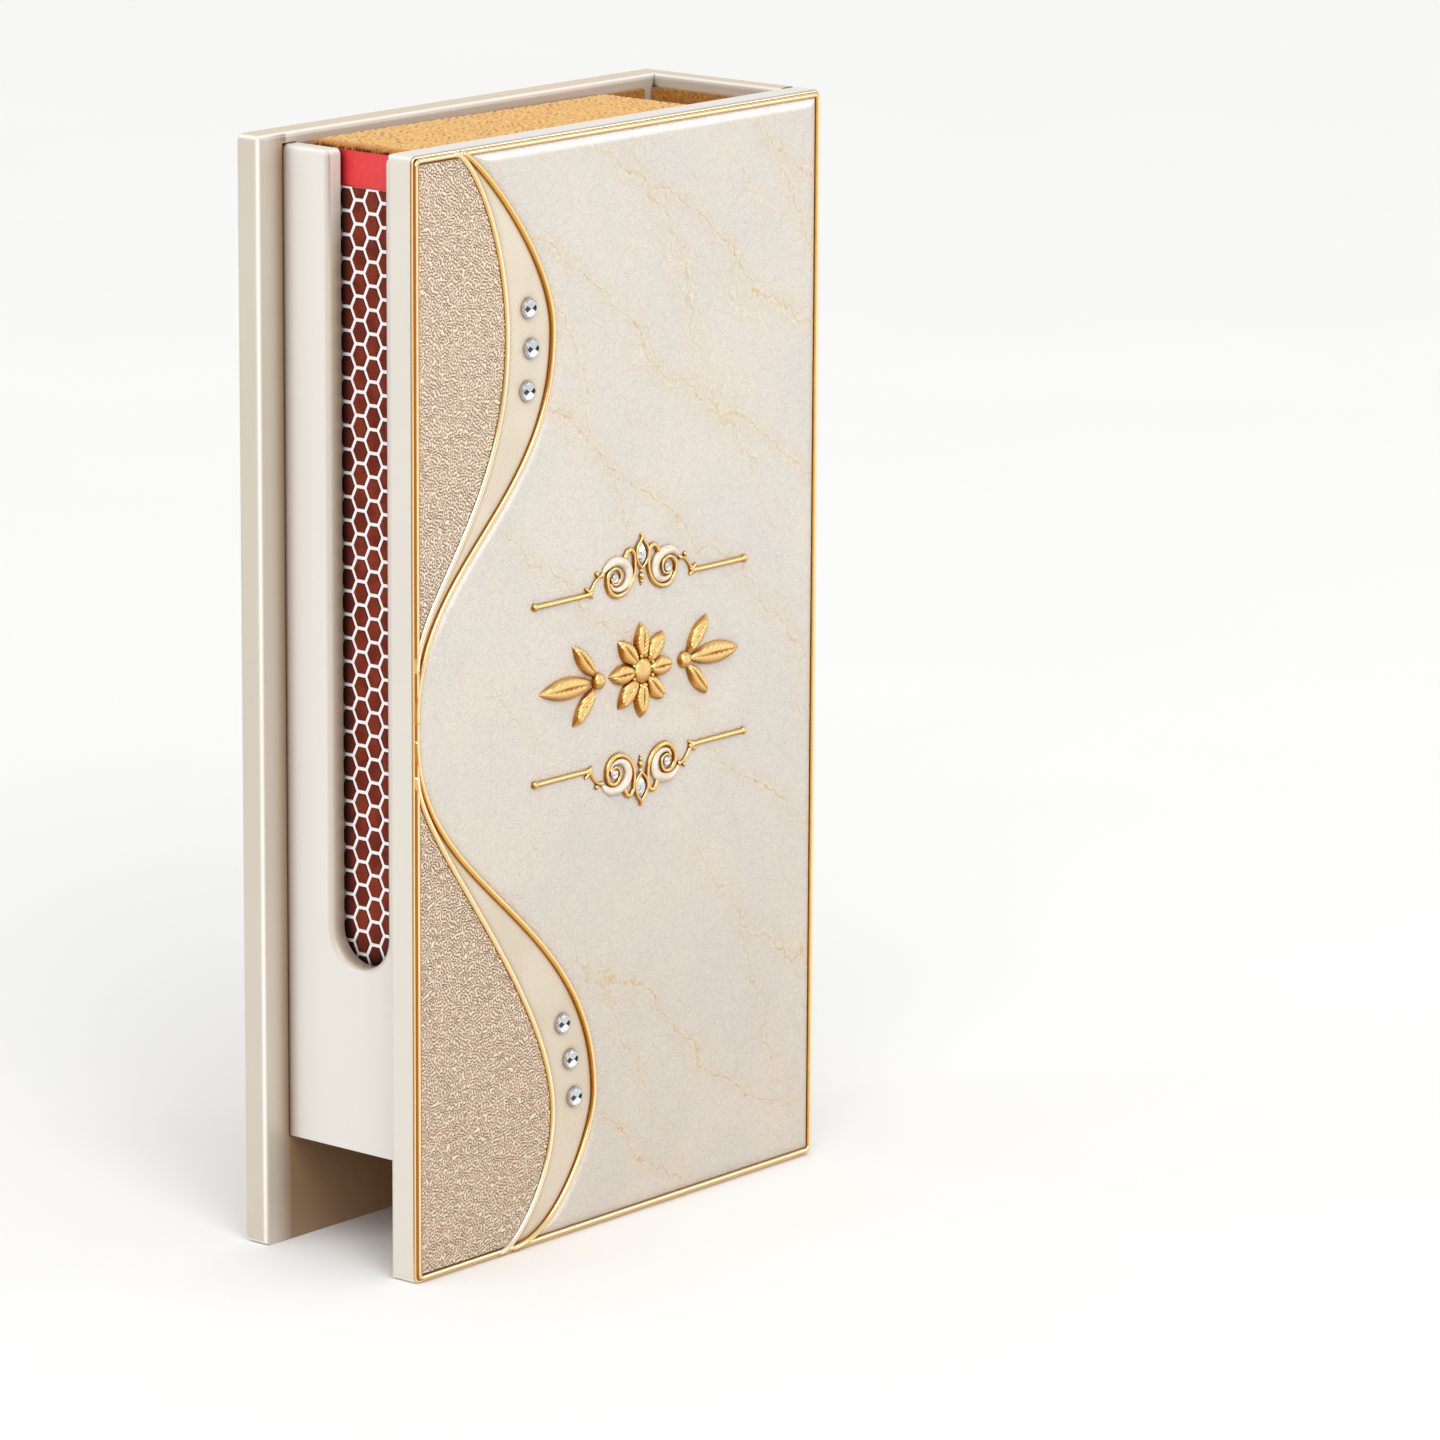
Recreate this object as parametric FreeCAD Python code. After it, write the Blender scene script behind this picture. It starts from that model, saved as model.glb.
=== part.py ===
import FreeCAD, Part
import math
import os

# Matchbox holder: a book-shaped stand of lacquered boards that keeps a matchbox upright.
# Millimetres. X runs across the decorated front, Y from front to back and Z up.
# The origin lies on the ground, under the middle of the holder's outline.

# Matchbox: card sleeve, strikers, tray and matches
sleeve_length = 110.0
sleeve_width = 49.6
sleeve_thickness = 17.1
card_thickness = 0.5
sleeve_edge_radius = 0.4
striker_thickness = 0.3
striker_side_margin = 0.5
striker_end_band = 3.9
tray_clearance = 0.3
tray_card_thickness = 0.6
tray_proud = 0.25
stick_thickness = 2.1
match_end_gap = 1.8
head_diameter = 2.9
head_length = 4.4
head_rounding = 1.1
match_gap = 0.15
match_layers = 5
match_rows = 18

# Boards of the holder
board_thickness = 3.4
spine_thickness = 2.8
wall_thickness = 2.0
wall_recess = 4.0
wall_drop = 1.35
wall_lift = 0.7
shelf_height = 11.4
shelf_thickness = 2.0
rim_cover = 1.6
groove_depth = 1.0
edge_radius = 0.7
corner_radius = 0.9
slot_radius = 4.05
slot_offset = 1.3
slot_bottom_height = 33.1
slot_edge_radius = 0.7

# Lining of the pocket
lining_thickness = 0.4
lining_drop = 1.65
lining_stop = 2.1

# Clearances and the overrun of cuts
box_clearance = 0.4
wall_clearance = 0.3
end_gap = 9.3
fit_clearance = 0.1
trim_clearance = 0.1
overrun = 2.0
match_tolerance = 0.001

# Leather and gold piping of the front
leather_thickness = 0.45
piping_side_height = 0.3
border_piping_width = 0.9
border_inset = 0.1
wave_piping_width = 0.8

# Wave lines: heights and places as shares of the holder's height and width.
# Each holds the tail on the left border, the bulge corner (across, up) and the place on the top or bottom
# border.
wave_place_shares = {
    "upper_inner": (0.575, (0.332, 0.840), 0.106),
    "upper_outer": (0.566, (0.437, 0.817), 0.136),
    "lower_inner": (0.434, (0.399, 0.115), 0.235),
    "lower_outer": (0.447, (0.560, 0.128), 0.283),
}
# How far each bend reaches along the shorter of its two runs: tail, bulge and border end.
wave_bend_shares = {
    "upper_inner": (0.094, 0.94, 0.04),
    "upper_outer": (0.177, 0.60, 0.05),
    "lower_inner": (0.071, 0.82, 0.14),
    "lower_outer": (0.119, 0.82, 0.08),
}

# Round crystals in their cups, placed as shares of the holder's width and height
cup_diameter = 2.1
cup_height = 0.5
cup_wall = 0.2
crystal_crown_height = 0.35
crystal_table_share = 0.25
crystal_place_shares = {
    "upper": ((0.269, 0.851), (0.275, 0.815), (0.266, 0.778)),
    "lower": ((0.352, 0.199), (0.372, 0.164), (0.382, 0.128)),
}

# Scroll ornaments above and below the centre motif
ornament_middle_share = 0.544
ornament_centre_share = 0.504
scroll_rise = 10.0
scroll_wire_diameter = 0.6
scroll_rod_reach = 18.0
scroll_ball_diameter = 0.9
scroll_bend_reach = 8.9
scroll_neck_reach = 8.0
scroll_neck_height = 1.75
scroll_neck_end = 6.8
scroll_neck_bend_shares = (0.45, 0.45)
stem_reach = 1.15
stem_foot_height = 1.95
stem_top_height = 3.0
hook_radius = 0.8
hook_end_angle = 40.0
volute_radius = 2.85
volute_shares = (1.0, 0.667, 0.404, 0.281)
volute_crystal_diameter = 0.9
volute_crystal_height = 0.35
volute_crystal_reach = 4.73
volute_crystal_rise = 1.28
pearl_tip_reach = 6.5
pearl_crown_reach = 4.5
pearl_outer_height = 3.2
pearl_inner_height = 2.62
pearl_foot_reach = 1.75
pearl_foot_height = 2.35
pearl_thickness = 0.3
leaf_tip_height = 5.0
leaf_foot_height = 1.75
leaf_half_width = 0.8
leaf_thickness = 0.4
marquise_tip_height = 4.3
marquise_foot_height = 2.2
marquise_half_width = 0.45
marquise_thickness = 0.6
drop_diameter = 0.84
drop_height = 0.75
drop_tail_diameter = 0.44
drop_tail_height = 0.05

# Raised centre motif: a rosette between two leaf sprays
motif_thickness = 0.9
petal_count = 8
petal_inner_radius = 1.0
petal_outer_radius = 5.5
petal_half_width = 1.15
boss_radius = 1.35
spray_reach = 7.4
spray_bead_radius = 0.9
spray_leaf_start = 0.6
spray_long_leaf = 9.8
spray_long_half_width = 1.25
spray_short_leaf = 6.2
spray_short_half_width = 0.95
spray_angle = 48.0

# Worked-out sizes and planes
pocket_depth = sleeve_thickness + 2 * (lining_thickness + box_clearance)
pocket_width = wall_clearance + 2 * striker_thickness + sleeve_width + end_gap + lining_thickness
holder_width = wall_recess + wall_thickness + pocket_width + spine_thickness
holder_height = shelf_height + shelf_thickness + sleeve_length + rim_cover
relief_height = leather_thickness + motif_thickness
holder_depth = relief_height + 2 * board_thickness + pocket_depth

left_x = -holder_width / 2
right_x = holder_width / 2
wall_left_x = left_x + wall_recess
wall_right_x = wall_left_x + wall_thickness
spine_left_x = right_x - spine_thickness
back_y = holder_depth / 2
pocket_back_y = back_y - board_thickness
pocket_front_y = pocket_back_y - pocket_depth
board_front_y = pocket_front_y - board_thickness
leather_front_y = board_front_y - leather_thickness
pocket_middle_y = (pocket_front_y + pocket_back_y) / 2
shelf_top_z = shelf_height + shelf_thickness
wall_bottom_z = shelf_height + wall_lift
wall_top_z = holder_height - wall_drop

sleeve_left_x = wall_right_x + wall_clearance + striker_thickness
sleeve_right_x = sleeve_left_x + sleeve_width
sleeve_front_y = pocket_middle_y - sleeve_thickness / 2
sleeve_back_y = pocket_middle_y + sleeve_thickness / 2
sleeve_top_z = shelf_top_z + sleeve_length
tray_left_x = sleeve_left_x + card_thickness + tray_clearance
tray_right_x = sleeve_right_x - card_thickness - tray_clearance
tray_front_y = sleeve_front_y + card_thickness + tray_clearance
tray_back_y = sleeve_back_y - card_thickness - tray_clearance
tray_top_z = sleeve_top_z + tray_proud
match_start_x = tray_left_x + tray_card_thickness + match_end_gap
match_end_x = tray_right_x - tray_card_thickness - match_end_gap
stick_length = match_end_x - match_start_x - head_length

border_line = border_inset + border_piping_width / 2
field_inset = border_inset + border_piping_width + trim_clearance
wave_half_gap = wave_piping_width / 2 + trim_clearance
ornament_x = left_x + ornament_middle_share * holder_width
ornament_z = ornament_centre_share * holder_height


def block(low, high):
    """Box between two corners."""
    size = [end - start for start, end in zip(low, high)]
    return Part.makeBox(*size, FreeCAD.Vector(*low))


def edges_on(shape, **planes):
    """Edges of a shape that lie in every one of the given planes, such as x=..., z=..."""
    chosen = []
    for edge in shape.Edges:
        box = edge.BoundBox
        limits = {"x": (box.XMin, box.XMax), "y": (box.YMin, box.YMax), "z": (box.ZMin, box.ZMax)}
        distances = [abs(end - place) for axis, place in planes.items() for end in limits[axis]]
        if max(distances) < match_tolerance:
            chosen.append(edge)
    return chosen


def on_front(x, z, y=0.0):
    """Point of the front's drawing: across, up and, if given, its depth."""
    return FreeCAD.Vector(x, y, z)


def left_of(direction):
    """Unit vector to the left of a unit direction in the front's plane."""
    return on_front(-direction.z, direction.x)


def rounded_path(corners, bend_shares, shift=0.0):
    """Edges of a line through the corners, with an arc at each inner one, moved to its left by the shift.

    A bend share says how far the arc reaches along the shorter of the two runs at its corner.
    """
    points = [on_front(*corner) for corner in corners]
    edges = []
    start = None
    for before, corner, after, share in zip(points, points[1:], points[2:], bend_shares):
        inward = corner - before
        onward = after - corner
        reach = share * min(inward.Length, onward.Length)
        inward.normalize()
        onward.normalize()
        turn = inward.getAngle(onward)
        middle = (inward + onward).normalize()
        to_corner = (inward - onward).normalize()
        bend_in = corner - inward * reach
        bend_out = corner + onward * reach
        rise = reach * math.cos(turn / 2) * math.tan(turn / 4)
        bend_top = (bend_in + bend_out) / 2 + to_corner * rise
        bend_in += left_of(inward) * shift
        bend_top += left_of(middle) * shift
        bend_out += left_of(onward) * shift
        if start is None:
            start = before + left_of(inward) * shift
        edges.append(Part.LineSegment(start, bend_in).toShape())
        edges.append(Part.Arc(bend_in, bend_top, bend_out).toShape())
        start = bend_out
    edges.append(Part.LineSegment(start, points[-1] + left_of(onward) * shift).toShape())
    return edges


def rounded_rectangle(low, high, radius):
    """Edges of a closed rectangle with round corners, starting in the middle of its left side."""
    middle_z = (low[1] + high[1]) / 2
    corners = [(low[0], middle_z), (low[0], high[1]), high, (high[0], low[1]), low, (low[0], middle_z)]
    points = [on_front(*corner) for corner in corners]
    shares = []
    for before, corner, after in zip(points, points[1:], points[2:]):
        shares.append(radius / min((corner - before).Length, (after - corner).Length))
    return rounded_path(corners, shares)


def prism(edges, start_y, end_y):
    """Solid between two depths with the closed outline that the edges make."""
    face = Part.Face(Part.Wire(edges))
    face.translate(FreeCAD.Vector(0, start_y, 0))
    return face.extrude(FreeCAD.Vector(0, end_y - start_y, 0))


def swept_bead(edges, base_y, width, side_height):
    """Bead of a flat back, short sides and a half-round front, run along a path on the front."""
    path = Part.Wire(edges)
    path.translate(FreeCAD.Vector(0, base_y, 0))
    first = path.OrderedEdges[0]
    start = first.valueAt(first.FirstParameter)
    side = left_of(first.tangentAt(first.FirstParameter)) * (width / 2)
    rise = FreeCAD.Vector(0, -side_height, 0)
    crown = start + rise + FreeCAD.Vector(0, -width / 2, 0)
    outline = [Part.LineSegment(start + side, start - side).toShape()]
    if side_height > 0:
        outline.append(Part.LineSegment(start - side, start - side + rise).toShape())
    outline.append(Part.Arc(start - side + rise, crown, start + side + rise).toShape())
    if side_height > 0:
        outline.append(Part.LineSegment(start + side + rise, start + side).toShape())
    return path.makePipeShell([Part.Wire(outline)], True, False)


def half_ball(x, z, diameter):
    """Half a ball on the leather."""
    centre = on_front(x, z, leather_front_y)
    return Part.makeSphere(diameter / 2, centre, FreeCAD.Vector(0, -1, 0), 0, 90, 360)


def round_post(x, z, radius, height):
    """Short cylinder that stands on the leather."""
    return Part.makeCylinder(radius, height, on_front(x, z, leather_front_y), FreeCAD.Vector(0, -1, 0))


def lens_edges(start, end, half_width):
    """Edges of a pointed leaf between two points."""
    first = on_front(*start)
    last = on_front(*end)
    side = left_of((last - first).normalize()) * half_width
    middle = (first + last) / 2
    return [Part.Arc(first, middle + side, last).toShape(), Part.Arc(last, middle - side, first).toShape()]


def fused(solids):
    """One solid made of overlapping ones."""
    return solids[0].multiFuse(solids[1:]).removeSplitter()


def board_outline(start_y, end_y):
    """Prism of the boards' rounded outline."""
    return prism(rounded_rectangle((left_x, 0), (right_x, holder_height), corner_radius), start_y, end_y)


def grooves(face_y, into):
    """Cutters of the grooves that hold the slotted wall and the shelf; into is the way into the board."""
    inner_y = face_y - into * overrun
    floor_y = face_y + into * groove_depth
    low_y = min(inner_y, floor_y)
    high_y = max(inner_y, floor_y)
    wall_groove = block((wall_left_x - fit_clearance, low_y, wall_bottom_z - fit_clearance),
                        (wall_right_x + fit_clearance, high_y, wall_top_z + fit_clearance))
    shelf_groove = block((wall_right_x, low_y, shelf_height - fit_clearance),
                         (spine_left_x, high_y, shelf_top_z + fit_clearance))
    return [wall_groove, shelf_groove]


def front_board():
    """Front board, eased along its inner left and upper edges."""
    board = block((left_x, board_front_y, 0), (right_x, pocket_front_y, holder_height))
    eased = edges_on(board, x=left_x, y=pocket_front_y) + edges_on(board, y=pocket_front_y, z=holder_height)
    board = board.makeFillet(edge_radius, eased)
    board = board.common(board_outline(board_front_y, pocket_front_y))
    return board.cut(grooves(pocket_front_y, -1))


def back_board():
    """Back board, eased all round its back and along its inner left and upper edges."""
    board = board_outline(pocket_back_y, back_y)
    board = board.makeFillet(edge_radius, edges_on(board, y=back_y))
    eased_block = block((left_x, pocket_back_y, 0), (right_x, back_y, holder_height))
    eased = edges_on(eased_block, x=left_x, y=pocket_back_y)
    eased += edges_on(eased_block, y=pocket_back_y, z=holder_height)
    board = board.common(eased_block.makeFillet(edge_radius, eased))
    return board.cut(grooves(pocket_back_y, 1))


def spine_board():
    """Spine between the boards, round at its outer ends like their corners."""
    board = block((spine_left_x, pocket_front_y, 0), (right_x, pocket_back_y, holder_height))
    ends = edges_on(board, x=right_x, z=0) + edges_on(board, x=right_x, z=holder_height)
    board = board.makeFillet(corner_radius, ends)
    return board.makeFillet(edge_radius, edges_on(board, x=spine_left_x, z=holder_height))


def slotted_side_wall():
    """Left end wall with a U-shaped slot, open at the top, where a match is struck."""
    wall = block((wall_left_x, pocket_front_y - groove_depth + fit_clearance, wall_bottom_z),
                 (wall_right_x, pocket_back_y + groove_depth - fit_clearance, wall_top_z))
    wall = wall.makeFillet(edge_radius, edges_on(wall, x=wall_left_x, z=wall_top_z))
    slot_y = pocket_middle_y - slot_offset
    slot_z = slot_bottom_height + slot_radius
    channel = block((wall_left_x - overrun, slot_y - slot_radius, slot_z),
                    (wall_right_x + overrun, slot_y + slot_radius, wall_top_z + overrun))
    round_end_start = FreeCAD.Vector(wall_left_x - overrun, slot_y, slot_z)
    round_end = Part.makeCylinder(slot_radius, wall_thickness + 2 * overrun, round_end_start,
                                  FreeCAD.Vector(1, 0, 0))
    wall = wall.cut(fused([channel, round_end]))
    rim = [edge for edge in edges_on(wall, x=wall_left_x) if slot_edge(edge, slot_y)]
    return wall.makeFillet(slot_edge_radius, rim)


def slot_edge(edge, slot_y):
    """Whether an edge of the wall's outer face belongs to the slot."""
    box = edge.BoundBox
    return max(abs(box.YMin - slot_y), abs(box.YMax - slot_y)) < slot_radius + match_tolerance


def floor_shelf():
    """Shelf that the matchbox stands on, held in grooves of both boards."""
    return block((wall_right_x, pocket_front_y - groove_depth + fit_clearance, shelf_height),
                 (spine_left_x, pocket_back_y + groove_depth - fit_clearance, shelf_top_z))


def board_lining(start_y, end_y):
    """Lining sheet on a board's inner face."""
    return block((wall_right_x, start_y, shelf_top_z),
                 (spine_left_x - lining_stop, end_y, holder_height - lining_drop))


def spine_lining():
    """Lining sheet on the spine's inner face."""
    return block((spine_left_x - lining_thickness, pocket_front_y, shelf_top_z),
                 (spine_left_x, pocket_back_y, holder_height - lining_drop))


def border_piping():
    """Gold piping round the front."""
    low = (left_x + border_line, border_line)
    high = (right_x - border_line, holder_height - border_line)
    path = rounded_rectangle(low, high, corner_radius)
    return swept_bead(path, board_front_y, border_piping_width, piping_side_height)


def wave_path(name, outward=0.0):
    """Edges of a wave line, moved outward, away from the left border, by a given length."""
    tail_share, bulge_share, end_share = wave_place_shares[name]
    upper = name.startswith("upper")
    border_z = holder_height - border_line if upper else border_line
    tail = (left_x + border_line, tail_share * holder_height)
    bulge = (left_x + bulge_share[0] * holder_width, bulge_share[1] * holder_height)
    end = (left_x + end_share * holder_width, border_z)
    run = math.hypot(bulge[0] - tail[0], bulge[1] - tail[1])
    start = (tail[0], tail[1] - run if upper else tail[1] + run)
    beyond = (left_x - holder_width, border_z)
    shift = -outward if upper else outward
    return rounded_path([start, tail, bulge, end, beyond], wave_bend_shares[name], shift)


def wave_region(name, outward):
    """Prism of all that lies between a wave line and the left border, leather thick."""
    edges = wave_path(name, outward)
    first = edges[0].Vertexes[0].Point
    last = edges[-1].Vertexes[1].Point
    corner = on_front(last.x, first.z)
    edges.append(Part.LineSegment(last, corner).toShape())
    edges.append(Part.LineSegment(corner, first).toShape())
    return prism(edges, board_front_y, leather_front_y)


def leather_field():
    """Prism of the whole leather face inside the border."""
    low = (left_x + field_inset, field_inset)
    high = (right_x - field_inset, holder_height - field_inset)
    return prism(rounded_rectangle(low, high, corner_radius), board_front_y, leather_front_y)


def largest(shape):
    """Largest solid of a cut shape."""
    return max(shape.Solids, key=lambda solid: solid.Volume)


def wave_piping(name):
    """Gold piping along a wave line, which stops where its side would meet the border."""
    stop = field_inset + wave_piping_width / 2
    inside = block((left_x + stop, -overrun, stop), (right_x - stop, overrun, holder_height - stop))
    run = Part.Wire(wave_path(name)).common(inside)
    path = Part.sortEdges(run.Edges)[0]
    return swept_bead(path, board_front_y, wave_piping_width, piping_side_height)


def marble_leather_panel():
    """Large leather field to the right of both outer wave lines."""
    return largest(leather_field().cut([wave_region("upper_outer", wave_half_gap),
                                        wave_region("lower_outer", wave_half_gap)]))


def textured_inlay(half):
    """Textured leather lobe between the left border and an inner wave line."""
    return largest(leather_field().common(wave_region(half + "_inner", -wave_half_gap)))


def crescent_inlay(half):
    """Plain leather crescent between an inner and an outer wave line."""
    region = leather_field().common(wave_region(half + "_outer", -wave_half_gap))
    return largest(region.cut(wave_region(half + "_inner", wave_half_gap)))


def crystal_places():
    """Places of the round crystals on the front."""
    shares = crystal_place_shares["upper"] + crystal_place_shares["lower"]
    return [(left_x + across * holder_width, up * holder_height) for across, up in shares]


def crystal_cup(x, z):
    """Shallow round cup that holds a crystal."""
    seat_radius = cup_diameter / 2 - cup_wall
    cup = round_post(x, z, cup_diameter / 2, cup_height)
    seat = Part.makeCone(0, seat_radius, cup_height - cup_wall,
                         on_front(x, z, leather_front_y - cup_wall), FreeCAD.Vector(0, -1, 0))
    return cup.cut(seat)


def round_crystal(x, z):
    """Round stone: a pointed back seated in its cup and a low crown."""
    girdle_radius = cup_diameter / 2 - cup_wall
    forward = FreeCAD.Vector(0, -1, 0)
    back = Part.makeCone(0, girdle_radius, cup_height - cup_wall,
                         on_front(x, z, leather_front_y - cup_wall), forward)
    crown = Part.makeCone(girdle_radius, crystal_table_share * girdle_radius, crystal_crown_height,
                          on_front(x, z, leather_front_y - cup_height), forward)
    return fused([back, crown])


def mirrored_pair(shape):
    """A piece and its mirror image across the ornament's middle."""
    return [shape, shape.mirror(FreeCAD.Vector(ornament_x, 0, 0), FreeCAD.Vector(1, 0, 0))]


def scroll_point(reach, height):
    """Place on the upper ornament, from its middle and from its rods."""
    return (ornament_x + reach, ornament_z + scroll_rise + height)


def scroll_rod():
    """Straight rod with a ball at its end, which bends up to the pearl's tip."""
    corners = [scroll_point(scroll_rod_reach, 0), scroll_point(scroll_bend_reach, 0),
               scroll_point(scroll_neck_reach, scroll_neck_height),
               scroll_point(scroll_neck_end, scroll_neck_height)]
    path = rounded_path(corners, scroll_neck_bend_shares)
    rod = swept_bead(path, leather_front_y, scroll_wire_diameter, 0)
    balls = [half_ball(*corner, scroll_ball_diameter) for corner in corners[:2]]
    return fused([rod] + balls)


def arc_on_front(centre, radius, start_angle, end_angle):
    """Arc about a point of the front, counted in degrees anticlockwise from +X."""
    points = []
    for angle in (start_angle, (start_angle + end_angle) / 2, end_angle):
        turn = math.radians(angle)
        points.append(on_front(centre[0] + radius * math.cos(turn), centre[1] + radius * math.sin(turn)))
    return Part.Arc(*points).toShape()


def volute():
    """Hook, stem and inward spiral of quarter turns, bent from one wire."""
    hook_centre = scroll_point(stem_reach + hook_radius, stem_top_height)
    edges = [arc_on_front(hook_centre, hook_radius, hook_end_angle, 180)]
    stem_top = on_front(*scroll_point(stem_reach, stem_top_height))
    stem_foot = on_front(*scroll_point(stem_reach, stem_foot_height))
    edges.append(Part.LineSegment(stem_top, stem_foot).toShape())
    end = stem_foot
    for quarter, share in enumerate(volute_shares):
        radius = volute_radius * share
        start_angle = 180 + 90 * quarter
        turn = math.radians(start_angle)
        centre = (end.x - radius * math.cos(turn), end.z - radius * math.sin(turn))
        arc = arc_on_front(centre, radius, start_angle, start_angle + 90)
        edges.append(arc)
        end = arc.Vertexes[1].Point
    tip = edges[0].Vertexes[0].Point
    wire = swept_bead(edges, leather_front_y, scroll_wire_diameter, 0)
    return fused([wire, half_ball(tip.x, tip.z, scroll_ball_diameter)])


def scroll_leaf():
    """Pointed leaf that frames the marquise stone."""
    outer = lens_edges(scroll_point(0, leaf_foot_height), scroll_point(0, leaf_tip_height), leaf_half_width)
    leaf = prism(outer, leather_front_y, leather_front_y - leaf_thickness)
    hole = prism(marquise_edges(trim_clearance), leather_front_y, leather_front_y - leaf_thickness)
    return leaf.cut(hole)


def marquise_edges(margin):
    """Outline of the marquise stone, widened by a margin."""
    foot = scroll_point(0, marquise_foot_height - margin)
    tip = scroll_point(0, marquise_tip_height + margin)
    return lens_edges(foot, tip, marquise_half_width + margin)


def scroll_ornament():
    """Gold pieces of the upper scrollwork."""
    pieces = mirrored_pair(scroll_rod()) + mirrored_pair(volute())
    pieces.append(scroll_leaf())
    pieces.append(half_ball(*scroll_point(0, drop_height), drop_diameter))
    pieces.append(half_ball(*scroll_point(0, drop_tail_height), drop_tail_diameter))
    return Part.makeCompound(pieces)


def scroll_pearls():
    """Pearl crescents over the two volutes."""
    tip = on_front(*scroll_point(pearl_tip_reach, scroll_neck_height))
    foot = on_front(*scroll_point(pearl_foot_reach, pearl_foot_height))
    outer = on_front(*scroll_point(pearl_crown_reach, pearl_outer_height))
    inner = on_front(*scroll_point(pearl_crown_reach, pearl_inner_height))
    edges = [Part.Arc(tip, outer, foot).toShape(), Part.Arc(foot, inner, tip).toShape()]
    pearl = prism(edges, leather_front_y, leather_front_y - pearl_thickness)
    return Part.makeCompound(mirrored_pair(pearl))


def volute_crystals():
    """Small round stones in the eyes of the volutes."""
    place = on_front(*scroll_point(volute_crystal_reach, volute_crystal_rise), leather_front_y)
    radius = volute_crystal_diameter / 2
    stone = Part.makeCone(radius, crystal_table_share * radius, volute_crystal_height, place,
                          FreeCAD.Vector(0, -1, 0))
    return Part.makeCompound(mirrored_pair(stone))


def marquise_crystal():
    """Pointed oval stone in the leaf."""
    return prism(marquise_edges(0), leather_front_y, leather_front_y - marquise_thickness)


def below(shape):
    """The same piece turned over for the lower ornament."""
    return shape.mirror(on_front(ornament_x, ornament_z), FreeCAD.Vector(0, 0, 1))


def above_and_below(shape):
    """A piece of the upper ornament together with its image in the lower one."""
    return Part.makeCompound([shape, below(shape)])


def pointed_leaf(root, start, length, half_width, angle):
    """Raised leaf that starts at a distance from its root and points at an angle in degrees."""
    across = math.cos(math.radians(angle))
    up = math.sin(math.radians(angle))
    ends = [(root[0] + reach * across, root[1] + reach * up) for reach in (start, length)]
    return prism(lens_edges(*ends, half_width), leather_front_y, leather_front_y - motif_thickness)


def centre_rosette():
    """Raised rosette of pointed petals round a boss."""
    root = (ornament_x, ornament_z)
    pieces = [round_post(*root, boss_radius, motif_thickness)]
    for petal in range(petal_count):
        pieces.append(pointed_leaf(root, petal_inner_radius, petal_outer_radius, petal_half_width,
                                   360 * petal / petal_count))
    return fused(pieces)


def centre_leaf_sprays():
    """Three raised leaves on a bead, on either side of the rosette."""
    root = (ornament_x + spray_reach, ornament_z)
    pieces = [round_post(*root, spray_bead_radius, motif_thickness),
              pointed_leaf(root, spray_leaf_start, spray_long_leaf, spray_long_half_width, 0)]
    for angle in (spray_angle, -spray_angle):
        pieces.append(pointed_leaf(root, spray_leaf_start, spray_short_leaf, spray_short_half_width, angle))
    return Part.makeCompound(mirrored_pair(fused(pieces)))


def matchbox_sleeve():
    """Card sleeve of the matchbox, open at both ends."""
    sleeve = block((sleeve_left_x, sleeve_front_y, shelf_top_z),
                   (sleeve_right_x, sleeve_back_y, sleeve_top_z))
    folds = [edge for x in (sleeve_left_x, sleeve_right_x) for y in (sleeve_front_y, sleeve_back_y)
             for edge in edges_on(sleeve, x=x, y=y)]
    sleeve = sleeve.makeFillet(sleeve_edge_radius, folds)
    inside = block((sleeve_left_x + card_thickness, sleeve_front_y + card_thickness, shelf_top_z - overrun),
                   (sleeve_right_x - card_thickness, sleeve_back_y - card_thickness, sleeve_top_z + overrun))
    return sleeve.cut(inside)


def striker_strip(start_x):
    """Striking strip on a narrow side of the sleeve."""
    front_y = sleeve_front_y + striker_side_margin
    rear_y = sleeve_back_y - striker_side_margin
    return block((start_x, front_y, shelf_top_z + striker_end_band),
                 (start_x + striker_thickness, rear_y, sleeve_top_z - striker_end_band))


def matchbox_tray():
    """Card tray, open towards the front, whose end shows above the sleeve."""
    tray = block((tray_left_x, tray_front_y, shelf_top_z), (tray_right_x, tray_back_y, tray_top_z))
    inside_low = (tray_left_x + tray_card_thickness, tray_front_y - overrun,
                  shelf_top_z + tray_card_thickness)
    inside_high = (tray_right_x - tray_card_thickness, tray_back_y - tray_card_thickness,
                   tray_top_z - tray_card_thickness)
    return tray.cut(block(inside_low, inside_high))


def match_places():
    """Middle of each match's inner end, in rows up the tray and layers from its back."""
    pitch = head_diameter + match_gap
    back = tray_back_y - tray_card_thickness
    places = []
    for layer in range(match_layers):
        for row in range(match_rows):
            places.append(FreeCAD.Vector(match_start_x + head_length, back - pitch * (layer + 1 / 2),
                                         shelf_top_z + tray_card_thickness + pitch * (row + 1 / 2)))
    return places


def copies(shape):
    """Copies of a match piece that is modelled at the origin, one at each match's place."""
    return Part.makeCompound([shape.translated(place) for place in match_places()])


def match_sticks():
    """Square wooden sticks."""
    half = stick_thickness / 2
    return copies(block((0, -half, -half), (stick_length, half, half)))


def match_heads():
    """Rounded striking heads, each at the end of its stick."""
    head = Part.makeCylinder(head_diameter / 2, head_length, FreeCAD.Vector(-head_length, 0, 0),
                             FreeCAD.Vector(1, 0, 0))
    rims = edges_on(head, x=-head_length) + edges_on(head, x=0)
    return copies(head.makeFillet(head_rounding, rims))


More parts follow.
